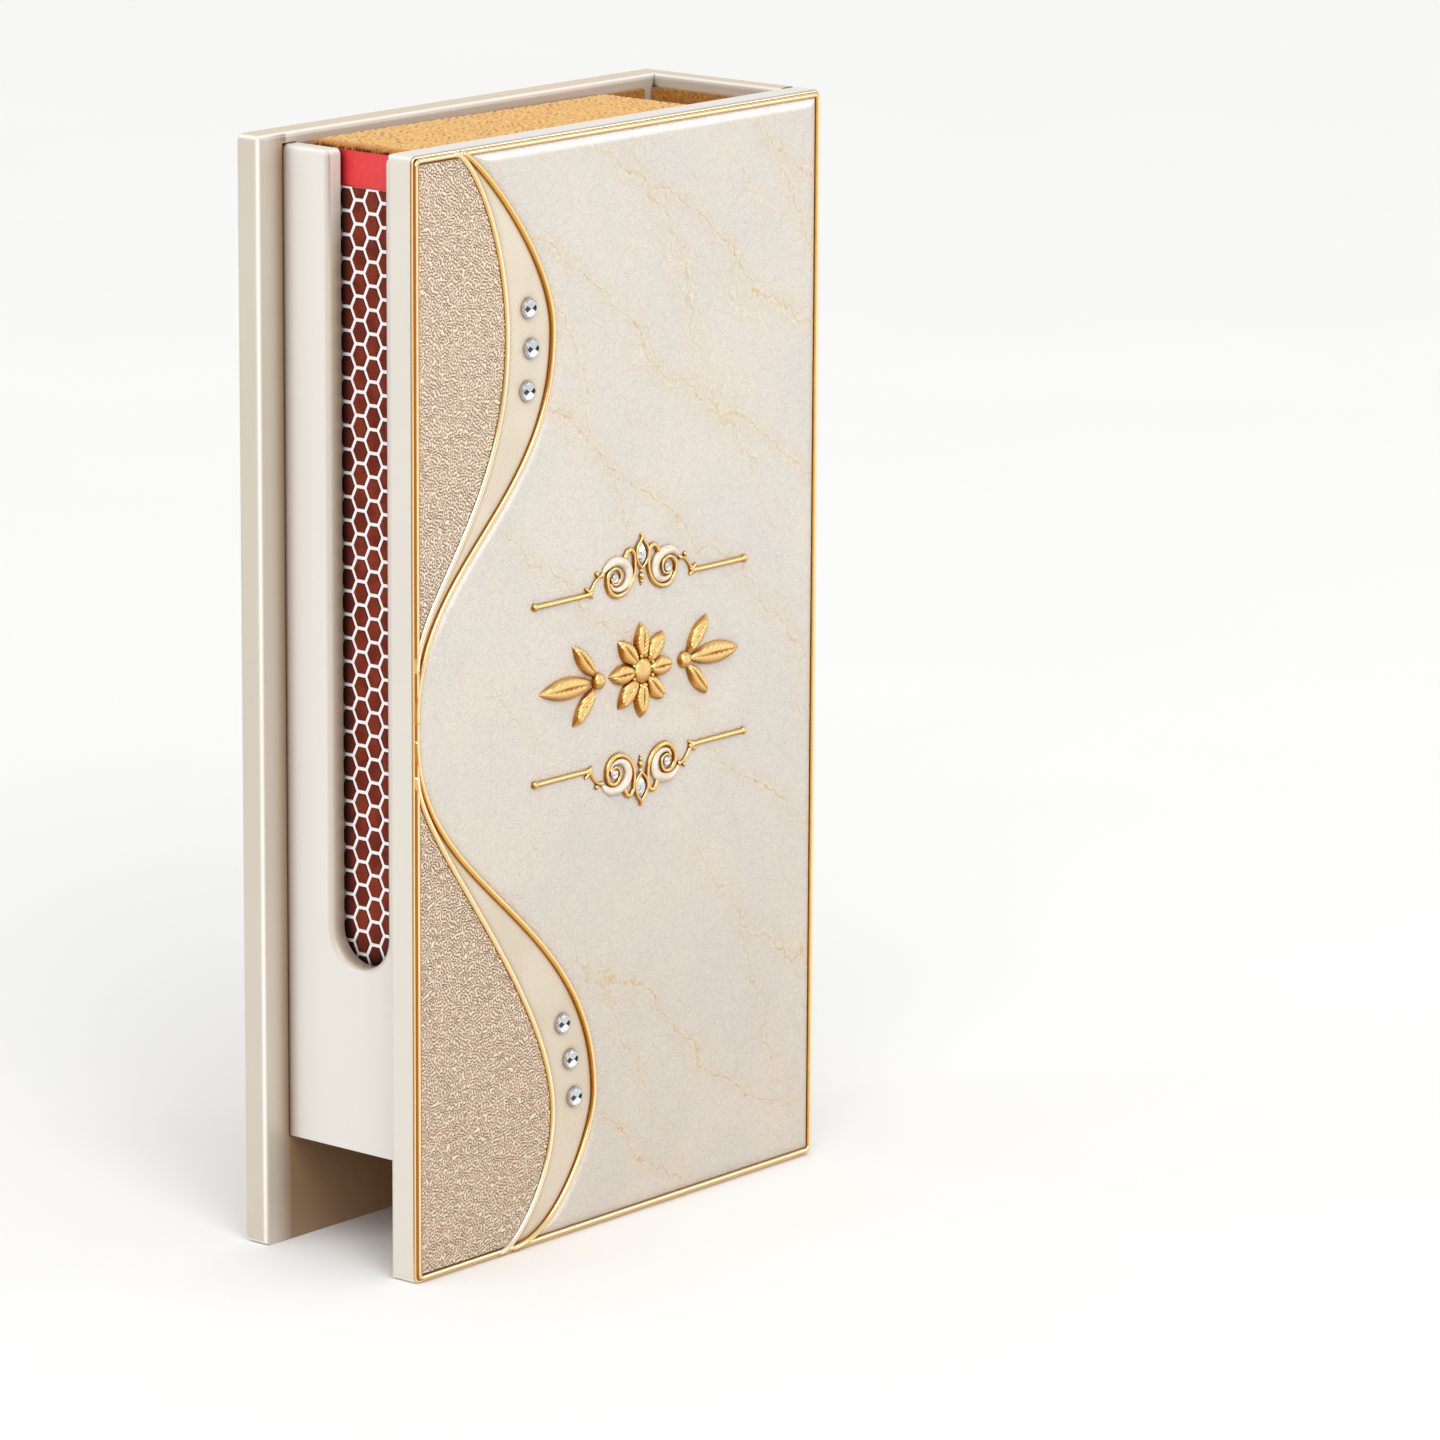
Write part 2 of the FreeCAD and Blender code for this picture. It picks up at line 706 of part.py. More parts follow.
def all_pieces():
    """Every piece of the holder and the matchbox under its name."""
    pieces = {
        "front_board": front_board(),
        "back_board": back_board(),
        "spine_board": spine_board(),
        "slotted_side_wall": slotted_side_wall(),
        "floor_shelf": floor_shelf(),
        "front_lining": board_lining(pocket_front_y, pocket_front_y + lining_thickness),
        "back_lining": board_lining(pocket_back_y - lining_thickness, pocket_back_y),
        "spine_lining": spine_lining(),
        "marble_leather_panel": marble_leather_panel(),
        "border_piping": border_piping(),
        "crystal_cups": Part.makeCompound([crystal_cup(*place) for place in crystal_places()]),
        "round_crystals": Part.makeCompound([round_crystal(*place) for place in crystal_places()]),
        "upper_scroll_ornament": scroll_ornament(),
        "lower_scroll_ornament": below(scroll_ornament()),
        "scroll_pearl_inlays": above_and_below(scroll_pearls()),
        "volute_crystals": above_and_below(volute_crystals()),
        "marquise_crystals": above_and_below(marquise_crystal()),
        "centre_rosette": centre_rosette(),
        "centre_leaf_sprays": centre_leaf_sprays(),
        "matchbox_sleeve": matchbox_sleeve(),
        "left_striker_strip": striker_strip(sleeve_left_x - striker_thickness),
        "right_striker_strip": striker_strip(sleeve_right_x),
        "matchbox_tray": matchbox_tray(),
        "match_sticks": match_sticks(),
        "match_heads": match_heads(),
    }
    for half in ("upper", "lower"):
        pieces[half + "_textured_inlay"] = textured_inlay(half)
        pieces[half + "_crescent_inlay"] = crescent_inlay(half)
        for line in ("inner", "outer"):
            pieces[half + "_" + line + "_piping"] = wave_piping(half + "_" + line)
    return pieces


os.makedirs("parts", exist_ok=True)
for piece_name, piece in all_pieces().items():
    piece.exportStep("parts/" + piece_name + ".step")
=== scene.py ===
import math

import bpy
import numpy as np
from mathutils import Euler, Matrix, Vector, geometry, noise


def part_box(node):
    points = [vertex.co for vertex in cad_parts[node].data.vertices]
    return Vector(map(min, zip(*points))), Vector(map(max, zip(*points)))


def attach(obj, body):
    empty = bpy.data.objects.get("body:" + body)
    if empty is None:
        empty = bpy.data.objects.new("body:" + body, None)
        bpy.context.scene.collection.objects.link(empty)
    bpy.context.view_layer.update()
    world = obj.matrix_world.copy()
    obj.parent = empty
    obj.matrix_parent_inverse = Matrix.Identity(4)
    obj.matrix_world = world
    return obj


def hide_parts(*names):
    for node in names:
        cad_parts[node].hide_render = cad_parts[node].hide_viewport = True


# Looks of the matchbox holder. Sizes are in millimetres and are turned into metres where a mesh is made.
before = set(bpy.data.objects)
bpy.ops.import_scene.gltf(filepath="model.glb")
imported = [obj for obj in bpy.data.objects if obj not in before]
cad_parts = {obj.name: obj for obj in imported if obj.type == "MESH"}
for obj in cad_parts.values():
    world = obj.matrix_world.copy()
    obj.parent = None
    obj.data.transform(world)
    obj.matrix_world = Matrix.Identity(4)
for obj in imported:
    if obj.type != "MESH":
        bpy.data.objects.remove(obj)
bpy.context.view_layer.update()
mm = 0.001

# Camera of the photograph
camera_place = (-623.7, -544.9, 245.5)
camera_azimuth = 50.28
camera_elevation = 12.89
camera_roll = 0.35
camera_lens = 188.6
camera_sensor = 36.0
camera_reach = 20.0

# Light: each soft lamp has a place and a power
sky_strength = 0.74
sun_strength = 1.1
sun_angle = 50.0
sun_from = (-0.5, -0.55, 0.67)
lamp_size = 300.0
lamps = {"key": ((-350, -600, 600), 0.9), "fill": ((700, -700, 350), 0.8), "left": ((-900, 450, 350), 0.8)}
floor_half = 4000.0

# Directions in which gold and enamel get painted shade or painted highlights
gold_shade_side = (-0.9, -0.43, -0.1)
gold_under_side = (0.0, -0.35, -0.94)
gold_light_side = (-0.1, -0.85, 0.5)
pearl_shade_side = (0.55, -0.25, -0.8)

# Lacquer: how far its painted shade and painted light reach
shade_edge = 0.3
foot_shade = (1.0, 6.0)
back_shade = (4.0, 5.0)
painted_light_front = (3.0, 2.0)
recess_shade = (1.0, 0.8)
recess_edge = 0.1
slot_side = 1.0
slot_shade = (1.0, 14.0)
shelf_shade = 25.0
painted_shade_brown = (146, 116, 86)

# Wave lines, from the front's lower left corner: where the tail leaves the left border, the apex across
# and up, and where the line runs into the top or bottom border. The shares are those of the curve's handles.
wave_places = {
    "upper_inner": (69.0, 15.3, 103.4, 7.0),
    "upper_outer": (63.3, 22.9, 103.3, 8.0),
    "lower_inner": (57.0, 22.9, 14.8, 14.1),
    "lower_outer": (61.0, 30.0, 15.7, 16.3),
}
wave_handle_shares = {
    "upper_inner": (0.22, 0.53, 0.56, 0.27),
    "upper_outer": (0.44, 0.49, 0.41, 0.13),
    "lower_inner": (0.17, 0.33, 0.51, 0.33),
    "lower_outer": (0.38, 0.47, 0.25, 0.59),
}
wave_steps = 80
wave_radius = 0.36

# Border: each bead has a shift inward, a radius and a depth
border_radius = 0.45
border_beads = ((-0.3, 0.15, 0.2), (0.07, 0.29, 0.02))
border_corner = 0.6
border_step = 1.5
bead_rise = 0.3
bead_waver = 0.02
bead_waver_pace = 0.3
seam = 0.04
tuck = 0.14

# Leather: a set of veins has a slope, a spacing, a strength, a share of gaps and a width
leather_roll = 1.4
roll_drop = 0.34
roll_shares = (0.0, 0.02, 0.15, 0.3, 0.45, 0.6, 0.8, 1.0)
leather_pitch = 0.55
leather_swell = 0.02
swell_pace = 0.12
smallest_width = 0.12
# Painted shade towards the foot of the front: the height where it begins and the factor on the tone at the
# foot
painted_shade_height = 85.0
painted_shade_factor = (0.9, 0.87, 0.84)
vein_sets = ((37.0, 15.0, 0.74, 0.42, 0.24), (66.0, 21.0, 0.52, 0.48, 0.24), (20.0, 11.0, 0.3, 0.55, 0.24),
             (52.0, 7.0, 0.3, 0.55, 0.16), (-35.0, 8.5, 0.22, 0.58, 0.16))
vein_wander = ((0.05, 14.0), (0.25, 3.6), (1.1, 1.3), (3.5, 0.35))
texture_roll = 0.3
texture_pitch = 0.103
texture_period = 0.36
texture_height = 0.09
texture_sink = 0.11
wave_count = 40
wave_paces = (0.8, 1.25)
ridge_bend = 0.22
ridge_drift = 4.0
ridge_level = 0.12
ridge_steepness = 1.8

# Round stones in their cups
cup_scale = 1.06
cup_reach = 2.2
cup_foot_scale = 1.04
cup_foot_height = 0.12
cup_wall_height = 0.36
cup_rim = 0.06
cup_depth = 0.15
stone_seat = 0.42
stone_crown = 0.15
stone_girdle = 0.1
stone_sides = 6
stone_table_share = 0.1
stone_bezel_shares = (0.76, 0.62)

# Scrollwork: points of reach from the middle, height over the rods and radius
scroll_rise = 0.16
frame_rise = 0.3
pearl_rise = 0.1
ornament_rise = 10.0
rod_points = ((18.0, 0.0, 0.3), (14.0, 0.0, 0.3), (9.1, 0.05, 0.28), (8.55, 0.45, 0.24), (8.0, 1.15, 0.19),
              (7.4, 1.65, 0.18), (6.75, 1.85, 0.2))
knot_points = ((9.5, 0.75, 0.12), (8.95, 0.35, 0.24), (8.7, -0.1, 0.26), (8.35, -0.4, 0.12))
hook_points = ((2.75, 3.35, 0.3), (2.45, 3.85, 0.3), (1.85, 4.0, 0.28), (1.35, 3.55, 0.27), (1.18, 2.8, 0.27))
frame_points = ((0.0, 5.4, 0.1), (0.2, 4.85, 0.17), (0.72, 4.25, 0.2), (1.02, 3.4, 0.21), (0.78, 2.45, 0.19),
                (0.0, 1.65, 0.16))
pearl_points = ((6.75, 1.85, 0.12), (6.1, 2.45, 0.34), (5.2, 2.95, 0.5), (4.2, 3.02, 0.56), (3.2, 2.75, 0.6),
                (2.45, 2.1, 0.6), (2.2, 1.25, 0.56), (2.5, 0.45, 0.5), (3.15, -0.05, 0.42), (4.0, -0.2, 0.34),
                (4.8, 0.0, 0.26), (5.25, 0.55, 0.18))
side_balls = ((18.0, 0.0, 0.46), (9.15, 0.0, 0.34), (7.55, 2.1, 0.3), (6.7, 1.85, 0.32), (2.8, 3.3, 0.36))
middle_balls = ((0.0, 5.4, 0.2), (0.0, 0.75, 0.42), (0.0, 0.18, 0.24), (0.0, -0.18, 0.14))
pearl_balls = ((0.0, 1.45, 0.26),)
volute_foot = (1.15, 1.95)
volute_radii = (2.85, 1.9, 1.3, 1.05, 0.85, 0.7)
volute_wire = (0.27, 0.07, 0.1)
eye_place = (4.5, 1.15)
eye_radius = 0.52
eye_seat = 0.3
eye_crown = 0.2
eye_least_tone = 0.55
marquise_middle = 3.3
marquise_half_height = 1.2
marquise_half_width = 0.74
marquise_table_middle = 3.25
marquise_table_shares = (0.45, 0.62)
marquise_heights = (0.22, 0.58, 0.0)

# Centre motif: a leaf has a start, an end, a half width and a share of the motif's height
petal_count = 8
petal = (1.0, 5.5, 1.15, 0.9)
long_leaf = (0.7, 9.8, 1.3, 0.9)
short_leaf = (0.7, 6.2, 1.0, 0.85)
short_leaf_turn = 48.0
leaf_tip = 0.02
leaf_groove = (0.3, 0.1)
spray_reach = 7.4
spray_boss_radius = 0.95
boss_radius = 1.5
boss_bead_count = 14
boss_bead_reach = 1.75
boss_bead_size = (0.28, 0.45)

# Striker honeycomb
cell_step = 1.92
cell_rise = 2.63
cell_line = 0.38
cell_height = 0.12
cell_bevel = 0.07

# Tray end and matches
pad_crown = (0.45, 0.2)
pad_edge = 0.7
pad_edge_drop = 0.9
pad_pitch = 0.14
pad_period = 0.72
pad_height = 0.12
tuft_depths = (-0.25, -0.6)
fringe_count = 260
fringe_sides = 5
fringe_radius = 0.1
fringe_length = (0.9, 1.6)
fringe_lean = (-0.25, 0.25)
fringe_root = (-0.05, 0.25)
fringe_tip = (-0.4, -0.1)
fringe_top_share = 0.8
fringe_hang_share = 0.6
fringe_bow = (-0.12, 0.0, 0.1)
match_layers = 5
match_rows = 18
match_shift = 0.04
stick_scale = 1.06
stick_root = 0.4
stick_straight = 8.0
stick_bevel = 0.1
stick_end_shift = 0.3
head_radius = 1.45
head_shares = ((0.0, 0.2), (0.04, 0.55), (0.14, 0.84), (0.32, 0.99), (0.52, 0.98), (0.72, 0.86), (0.9, 0.78),
               (1.0, 0.72))

random = np.random.default_rng(7)


def box_mm(*nodes):
    """Lowest and highest corner of some nodes, in millimetres."""
    corners = np.array([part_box(node) for node in nodes]) / mm
    return corners[:, 0].min(axis=0), corners[:, 1].max(axis=0)


board_low, board_high = box_mm("front_board")
border_low, border_high = box_mm("border_piping")
wall_low, wall_high = box_mm("slotted_side_wall")
tray_low, tray_high = box_mm("matchbox_tray")
ornament_low, ornament_high = box_mm("upper_scroll_ornament", "lower_scroll_ornament")
left_x = board_low[0]
board_y = board_low[1]
leather_y = box_mm("marble_leather_panel")[0][1]
pocket_front_y = board_high[1]
pocket_back_y = box_mm("back_board")[0][1]
spine_x = box_mm("spine_board")[0][0]
shelf_z = box_mm("floor_shelf")[0][2]
line_left = border_low[0] + border_radius
line_right = border_high[0] - border_radius
line_low = border_low[2] + border_radius
line_high = border_high[2] - border_radius
field_left = line_left + border_radius - tuck
field_right = line_right - border_radius + tuck
field_low = line_low + border_radius - tuck
field_high = line_high - border_radius + tuck
wave_half = wave_radius - tuck
ornament_x = (ornament_low[0] + ornament_high[0]) / 2
ornament_z = (ornament_low[2] + ornament_high[2]) / 2


def colour(red, green, blue):
    """Linear colour of a screen colour given from 0 to 255."""
    shares = [value / 255 for value in (red, green, blue)]
    return tuple(s / 12.92 if s <= 0.04045 else ((s + 0.055) / 1.055) ** 2.4 for s in shares)


class Finish:
    """A material whose tone is built up step by step, at places in millimetres."""

    def __init__(self, name, values):
        self.material = bpy.data.materials.new(name)
        self.material.use_nodes = True
        self.tree = self.material.node_tree
        self.shader = self.tree.nodes["Principled BSDF"]
        coordinates = self.tree.nodes.new("ShaderNodeTexCoord")
        self.normal = coordinates.outputs["Normal"]
        self.place = self.vector("MULTIPLY", coordinates.outputs["Object"], (1 / mm, 1 / mm, 1 / mm))
        for socket, value in values.items():
            self.feed(socket, value)

    def put(self, socket, value):
        """Links a socket to another one, or sets its value."""
        if isinstance(value, bpy.types.NodeSocket):
            self.tree.links.new(value, socket)
        elif isinstance(value, tuple) and len(value) < len(socket.default_value):
            socket.default_value = (*value, 1.0)
        else:
            socket.default_value = value

    def feed(self, socket, value):
        """Sets an input of the shader."""
        self.put(self.shader.inputs[socket], value)

    def add(self, kind, inputs, **settings):
        """New node with its settings and inputs."""
        node = self.tree.nodes.new(kind)
        for setting, value in settings.items():
            setattr(node, setting, value)
        for socket, value in inputs.items():
            self.put(node.inputs[socket], value)
        return node

    def vector(self, operation, first, second):
        return self.add("ShaderNodeVectorMath", {0: first, 1: second}, operation=operation).outputs[0]

    def math(self, operation, first, second=0.0):
        return self.add("ShaderNodeMath", {0: first, 1: second}, operation=operation).outputs[0]

    def product(self, first, *others):
        for other in others:
            first = self.math("MULTIPLY", first, other)
        return first

    def spread(self, value, low=None, high=1.0, to_low=0.0, to_high=1.0):
        """Value that goes smoothly from one limit to another, or the value itself if there are no limits."""
        if low is None:
            return value
        inputs = {"Value": value, "From Min": low, "From Max": high, "To Min": to_low, "To Max": to_high}
        return self.add("ShaderNodeMapRange", inputs, interpolation_type="SMOOTHSTEP").outputs[0]

    def axis_of(self, vector, axis):
        return self.add("ShaderNodeSeparateXYZ", {0: vector}).outputs[axis]

    def facing(self, axis, *limits):
        """How far the surface looks along an axis."""
        return self.spread(self.axis_of(self.normal, axis), *limits)

    def along(self, axis, *limits):
        """Place along an axis."""
        return self.spread(self.axis_of(self.place, axis), *limits)

    def towards(self, direction, *limits):
        """How far the surface looks in a direction."""
        inputs = {0: self.normal, 1: tuple(Vector(direction).normalized())}
        node = self.add("ShaderNodeVectorMath", inputs, operation="DOT_PRODUCT")
        return self.spread(node.outputs["Value"], *limits)

    def within(self, axis, low, high, edge=shade_edge):
        """One between two places along an axis, and zero beyond them."""
        return self.product(self.along(axis, low - edge, low), self.along(axis, high + edge, high))

    def rounding(self):
        """One where the surface looks along no axis, as on a rounded edge, and zero on flat sides."""
        x, y, z = [self.math("ABSOLUTE", self.facing(axis)) for axis in "XYZ"]
        return self.spread(self.math("MAXIMUM", self.math("MAXIMUM", x, y), z), 0.96, 0.76)

    def crevice(self, distance, low=0.35, high=0.95):
        """How far a point lies in a crevice of a given size, from 0 to 1."""
        open_share = self.add("ShaderNodeAmbientOcclusion", {"Distance": distance * mm}).outputs["AO"]
        return self.spread(open_share, low, high, 1.0, 0.0)

    def noise(self, scale, detail=2.0, distortion=0.0, at=None):
        inputs = {"Vector": at or self.place, "Scale": scale, "Detail": detail, "Distortion": distortion}
        return self.add("ShaderNodeTexNoise", inputs).outputs["Fac"]

    def patches(self, scale, detail, start=0.3, end=0.7, low=0.0, high=1.0, distortion=0.0):
        """Soft patches that go from a low to a high value."""
        return self.spread(self.noise(scale, detail, distortion), start, end, low, high)

    def stretched(self, scale, slope=0.0):
        """Place that is turned across the front and scaled along each axis."""
        inputs = {"Vector": self.place, "Rotation": (0.0, math.radians(slope), 0.0), "Scale": scale}
        return self.add("ShaderNodeMapping", inputs, vector_type="TEXTURE").outputs[0]

    def warped(self, at, scale, reach):
        """Place that is pushed about by a noise."""
        drift = self.add("ShaderNodeTexNoise", {"Vector": self.place, "Scale": scale, "Detail": 3.0})
        push = self.vector("SUBTRACT", drift.outputs["Color"], (0.5, 0.5, 0.5))
        return self.vector("ADD", at, self.vector("MULTIPLY", push, (reach, reach, reach)))

    def bands(self, slope, scale, distortion, detail, detail_scale):
        """Uneven fine bands across the front at a slope."""
        inputs = {"Vector": self.stretched((1.0, 1.0, 1.0), slope), "Scale": scale, "Distortion": distortion,
                  "Detail": detail, "Detail Scale": detail_scale}
        return self.add("ShaderNodeTexWave", inputs, bands_direction="X").outputs["Fac"]

    def mix(self, factor, *tones):
        """Mix of two tones, each a screen colour or a socket."""
        first, second = [colour(*tone) if isinstance(tone, tuple) else tone for tone in tones]
        return self.add("ShaderNodeMix", {0: factor, 6: first, 7: second}, data_type="RGBA").outputs[2]

    def start(self, factor, first, second):
        """Begins the tone as a mix of two."""
        self.tone = self.mix(factor, first, second)

    def tint(self, factor, tone):
        """Mixes another tone in."""
        self.tone = self.mix(factor, self.tone, tone)

    def paint_shade_below(self):
        """Paints shade: deepens the tone a little towards the foot of the front."""
        self.tint(self.along("Z", painted_shade_height, 0.0), self.vector("MULTIPLY", self.tone, painted_shade_factor))

    def done(self, rough=None, relief=None, depth=0.0):
        """Material with its tone, a noise and range of roughness, and a relief of some depth."""
        self.feed("Base Color", self.tone)
        if rough:
            scale, detail, low, high = rough
            self.feed("Roughness", self.patches(scale, detail, low=low, high=high))
        if relief:
            bump = self.add("ShaderNodeBump", {"Height": relief, "Distance": depth * mm, "Strength": 1.0})
            self.feed("Normal", bump.outputs[0])
        return self.material


def lacquer(name, body, top):
    """Satin cream lacquer: another tone on upward faces, painted highlights on rounded edges, and painted
    shade in corners, recesses, the slot and under the shelf, lifted by painted light near the front.
    """
    finish = Finish(name, {"Coat Weight": 0.5, "Coat Roughness": 0.15})
    finish.start(finish.patches(0.06, 3.0, 0.35, 0.65, 0.0, 0.07), body, (236, 230, 220))
    # Upward faces take another tone: lighter on the front board and the wall, as painted light from above,
    # and tan on the back board and the spine.
    finish.tint(finish.facing("Z", 0.9, 0.99), top)
    # Painted highlight: rounded edges are tinted near-white.
    finish.tint(finish.rounding(), (240, 236, 229))
    wall_x = wall_low[0] + shade_edge
    outer = finish.within("X", left_x, wall_x)
    above_foot = finish.along("Z", *foot_shade)
    corner = finish.product(finish.crevice(2.4), outer, above_foot)
    # Painted light: near the front board the corner is lifted towards white, against the real shade there.
    near_front = finish.within("Y", pocket_front_y, pocket_front_y + painted_light_front[0], painted_light_front[1])
    finish.tint(finish.product(corner, near_front, 0.5), (250, 247, 242))
    # Painted shade: the corner by the wall darkens to brown towards the back board.
    near_back = finish.along("Y", pocket_front_y + back_shade[0], pocket_back_y - back_shade[1])
    finish.tint(finish.product(corner, near_back), (134, 106, 78))
    # Painted shade: the boards' inner faces beside the wall darken to brown.
    deeper = finish.along("X", left_x + recess_shade[0], wall_low[0] + recess_shade[1], 0.0, 0.9)
    inner = finish.within("Y", pocket_front_y - recess_edge, pocket_back_y + recess_edge, 1.5 * recess_edge)
    finish.tint(finish.product(deeper, outer, inner, finish.math("ABSOLUTE", finish.facing("Y"))), painted_shade_brown)
    # Painted shade: near-black brown in tight corners, kept off the foot.
    finish.tint(finish.product(finish.crevice(1.0, 0.32, 0.78), above_foot), (70, 51, 35))
    # Painted shade: the slot's inner sides darken towards the honeycomb.
    slot = finish.product(finish.facing("X", -0.96, -0.6),
                          finish.within("X", wall_low[0], wall_high[0], 0.05),
                          finish.within("Y", pocket_front_y + slot_side, pocket_back_y - slot_side),
                          finish.along("Z", wall_high[2] - slot_shade[0], wall_high[2] - slot_shade[1]))
    depth = finish.along("X", wall_low[0], wall_high[0])
    finish.tint(slot, finish.mix(depth, (214, 202, 188), (158, 136, 116)))
    # Painted shade under the shelf and below the wall, with painted light that pales it further in.
    under = finish.product(finish.within("X", wall_x, spine_x, 0.4),
                           finish.within("Y", pocket_front_y, pocket_back_y),
                           finish.within("Z", 0.0, shelf_z + 0.5, 0.2))
    inward = finish.along("X", wall_low[0], wall_low[0] + shelf_shade)
    finish.tint(under, finish.mix(inward, painted_shade_brown, (196, 158, 116)))
    return finish.done((1.2, 4.0, 0.3, 0.42), finish.noise(2.2), 0.012)


def vein_lines(finish, slope, spacing):
    """Distance to wandering lines that run across the front at a slope."""
    place = finish.stretched((1.0, 1.0, 1.0), slope)
    for scale, reach in vein_wander:
        place = finish.warped(place, scale, reach)
    across = finish.math("FRACT", finish.math("DIVIDE", finish.axis_of(place, "Z"), spacing))
    return finish.product(finish.math("ABSOLUTE", finish.math("SUBTRACT", across, 0.5)), spacing)


def marbled_leather():
    """Cream leather with broken golden veins in warm clouds and a fine crinkle; painted shade in crevices and
    towards the foot, and a painted highlight on its upward-facing upper edge.
    """
    finish = Finish("marbled_leather", {"Specular IOR Level": 0.4, "Sheen Weight": 0.05})
    finish.start(finish.patches(0.06, 4.0, 0.35, distortion=0.6), (213, 207, 198), (219, 211, 199))
    dots = finish.patches(1.3, 3.0, 0.42, 0.62, 0.1)
    for slope, spacing, strength, gaps, width in vein_sets:
        streaks = finish.noise(0.13, 4.0, 0.0, finish.stretched((spacing, 1.0, 9.0)))
        broken = finish.spread(streaks, gaps, gaps + 0.16)
        off_line = vein_lines(finish, slope, spacing)
        haze = finish.spread(off_line, 0.0, 10 * width, 0.45 * strength, 0.0)
        finish.tint(finish.product(haze, broken), (215, 197, 167))
        rim = finish.math("SUBTRACT", finish.spread(off_line, 0.25, 0.8, 0.3, 0.0),
                          finish.spread(off_line, 0.1, 0.3, 0.3, 0.0))
        finish.tint(finish.product(rim, broken, dots), (236, 233, 227))
        core = finish.spread(off_line, 0.05, width, strength, 0.0)
        finish.tint(finish.product(core, broken, dots), (212, 170, 104))
    # Painted shade: darker beside the gold beads, in the leather's crevices.
    finish.tint(finish.crevice(0.8, 0.3, 0.8), (186, 162, 128))
    # Painted highlight: the upward-facing rolled edge is tinted near-white.
    finish.tint(finish.facing("Z", 0.05, 0.24), (250, 248, 243))
    finish.paint_shade_below()
    wide, small = [finish.math("ABSOLUTE", finish.math("SUBTRACT", finish.noise(scale, 2.0, bend), 0.5))
                   for scale, bend in ((0.75, 1.6), (1.7, 1.2))]
    creases = finish.math("ADD", finish.spread(wide, 0.0, 0.1), finish.spread(small, 0.0, 0.12, 0.0, 0.6))
    crinkle = finish.math("ADD", creases, finish.product(finish.noise(5.0), 0.3))
    return finish.done((2.0, 3.0, 0.4, 0.55), crinkle, 0.035)


def textured_leather():
    """Beige embossed leather: painted shade between its winding ridges and in its crevices, painted
    highlights on the ridges' tops, and painted shade towards the foot.
    """
    finish = Finish("textured_leather", {"Specular IOR Level": 0.3})
    ground = leather_y + texture_sink
    raised = finish.along("Y", ground + texture_height, ground - texture_height)
    # Painted shade in the hollows and painted highlights on the ridge tops, by height.
    painted_shade_pits = finish.mix(finish.noise(0.6, 3.0), (168, 131, 95), (196, 162, 126))
    painted_highlight_backs = finish.mix(finish.noise(0.8, 3.0), (231, 219, 201), (246, 239, 227))
    finish.start(raised, painted_shade_pits, painted_highlight_backs)
    # Painted shade in crevices.
    finish.tint(finish.crevice(0.9, 0.3, 0.8), painted_shade_brown)
    finish.paint_shade_below()
    return finish.done((4.0, 3.0, 0.3, 0.48), finish.noise(9.0, 3.0), 0.02)


def cream_leather():
    """Plain cream leather with a fine slanting grain, painted shade in its crevices beside the beads and
    painted shade towards the foot.
    """
    finish = Finish("cream_leather", {"Specular IOR Level": 0.4})
    finish.start(finish.patches(0.12, 3.0, 0.35, 0.65), (217, 207, 189), (225, 216, 201))
    lines = finish.bands(35, 0.75, 5.0, 2.0, 0.5)
    finish.tint(finish.product(lines, 0.45), (202, 182, 150))
    # Painted shade: tan in crevices beside the beads.
    finish.tint(finish.crevice(3.2, 0.4, 1.0), (188, 154, 108))
    finish.paint_shade_below()
    return finish.done((2.5, 3.0, 0.42, 0.58), finish.math("ADD", lines, finish.noise(6.0, 3.0)), 0.022)


def gold(name, deep, body, light, roughness, brushed=False, top=None):
    """Gold plate whose tone carries painted reflections: painted shade on sides that face left and down,
    painted highlights on sides that face up and forward, and painted shade in crevices.
    """
    finish = Finish(name, {"Metallic": 1.0})
    # Painted shade on sides that face left and forward, left out near the right border, and on sides that
    # face down.
    flank = finish.product(finish.towards(gold_shade_side, 0.82, 0.96),
                           finish.along("X", line_right - 2, line_right - 6))
    shade = finish.math("MAXIMUM", flank, finish.towards(gold_under_side, 0.72, 0.98))
    finish.start(shade, finish.mix(finish.patches(0.5, 3.0, high=0.2), body, deep), deep)
    # Painted highlight where the gold faces up and forward.
    finish.tint(finish.towards(gold_light_side, 0.64, 0.86), light)
    # Painted shade in crevices.
    finish.tint(finish.crevice(0.5, 0.25, 0.75), deep)
    if top:
        # Painted highlight on upward faces.
        finish.tint(finish.facing("Z", 0.3, 0.7), top)
    rough = (1.5, 4.0, roughness, roughness + 0.12)
    if brushed:
        return finish.done(rough, finish.bands(62, 0.8, 1.6, 3.0, 0.8), 0.05)
    return finish.done(rough, finish.noise(0.6), 0.006)


def silver():
    """Polished silver plate with painted shade in its crevices."""
    finish = Finish("silver_cup", {"Metallic": 1.0})
    # Painted shade: the silver darkens to grey in crevices.
    finish.start(finish.crevice(0.6, 0.3, 0.9), (196, 198, 202), (96, 98, 104))
    return finish.done((3.0, 3.0, 0.1, 0.22))


def crystal():
    """Foil-backed cut stone whose facets carry painted reflections: each facet has the tone, dark or white,
    that its mesh gives it.
    """
    finish = Finish("clear_crystal", {})
    tone = finish.add("ShaderNodeAttribute", {}, attribute_name="tone").outputs["Fac"]
    finish.start(tone, (24, 27, 34), (250, 251, 254))
    # The painted reflections also set how shiny and how metallic each facet is.
    finish.feed("Specular IOR Level", finish.product(tone, 0.4))
    finish.feed("Metallic", finish.product(tone, 0.7))
    return finish.done((2.0, 2.0, 0.04, 0.12))


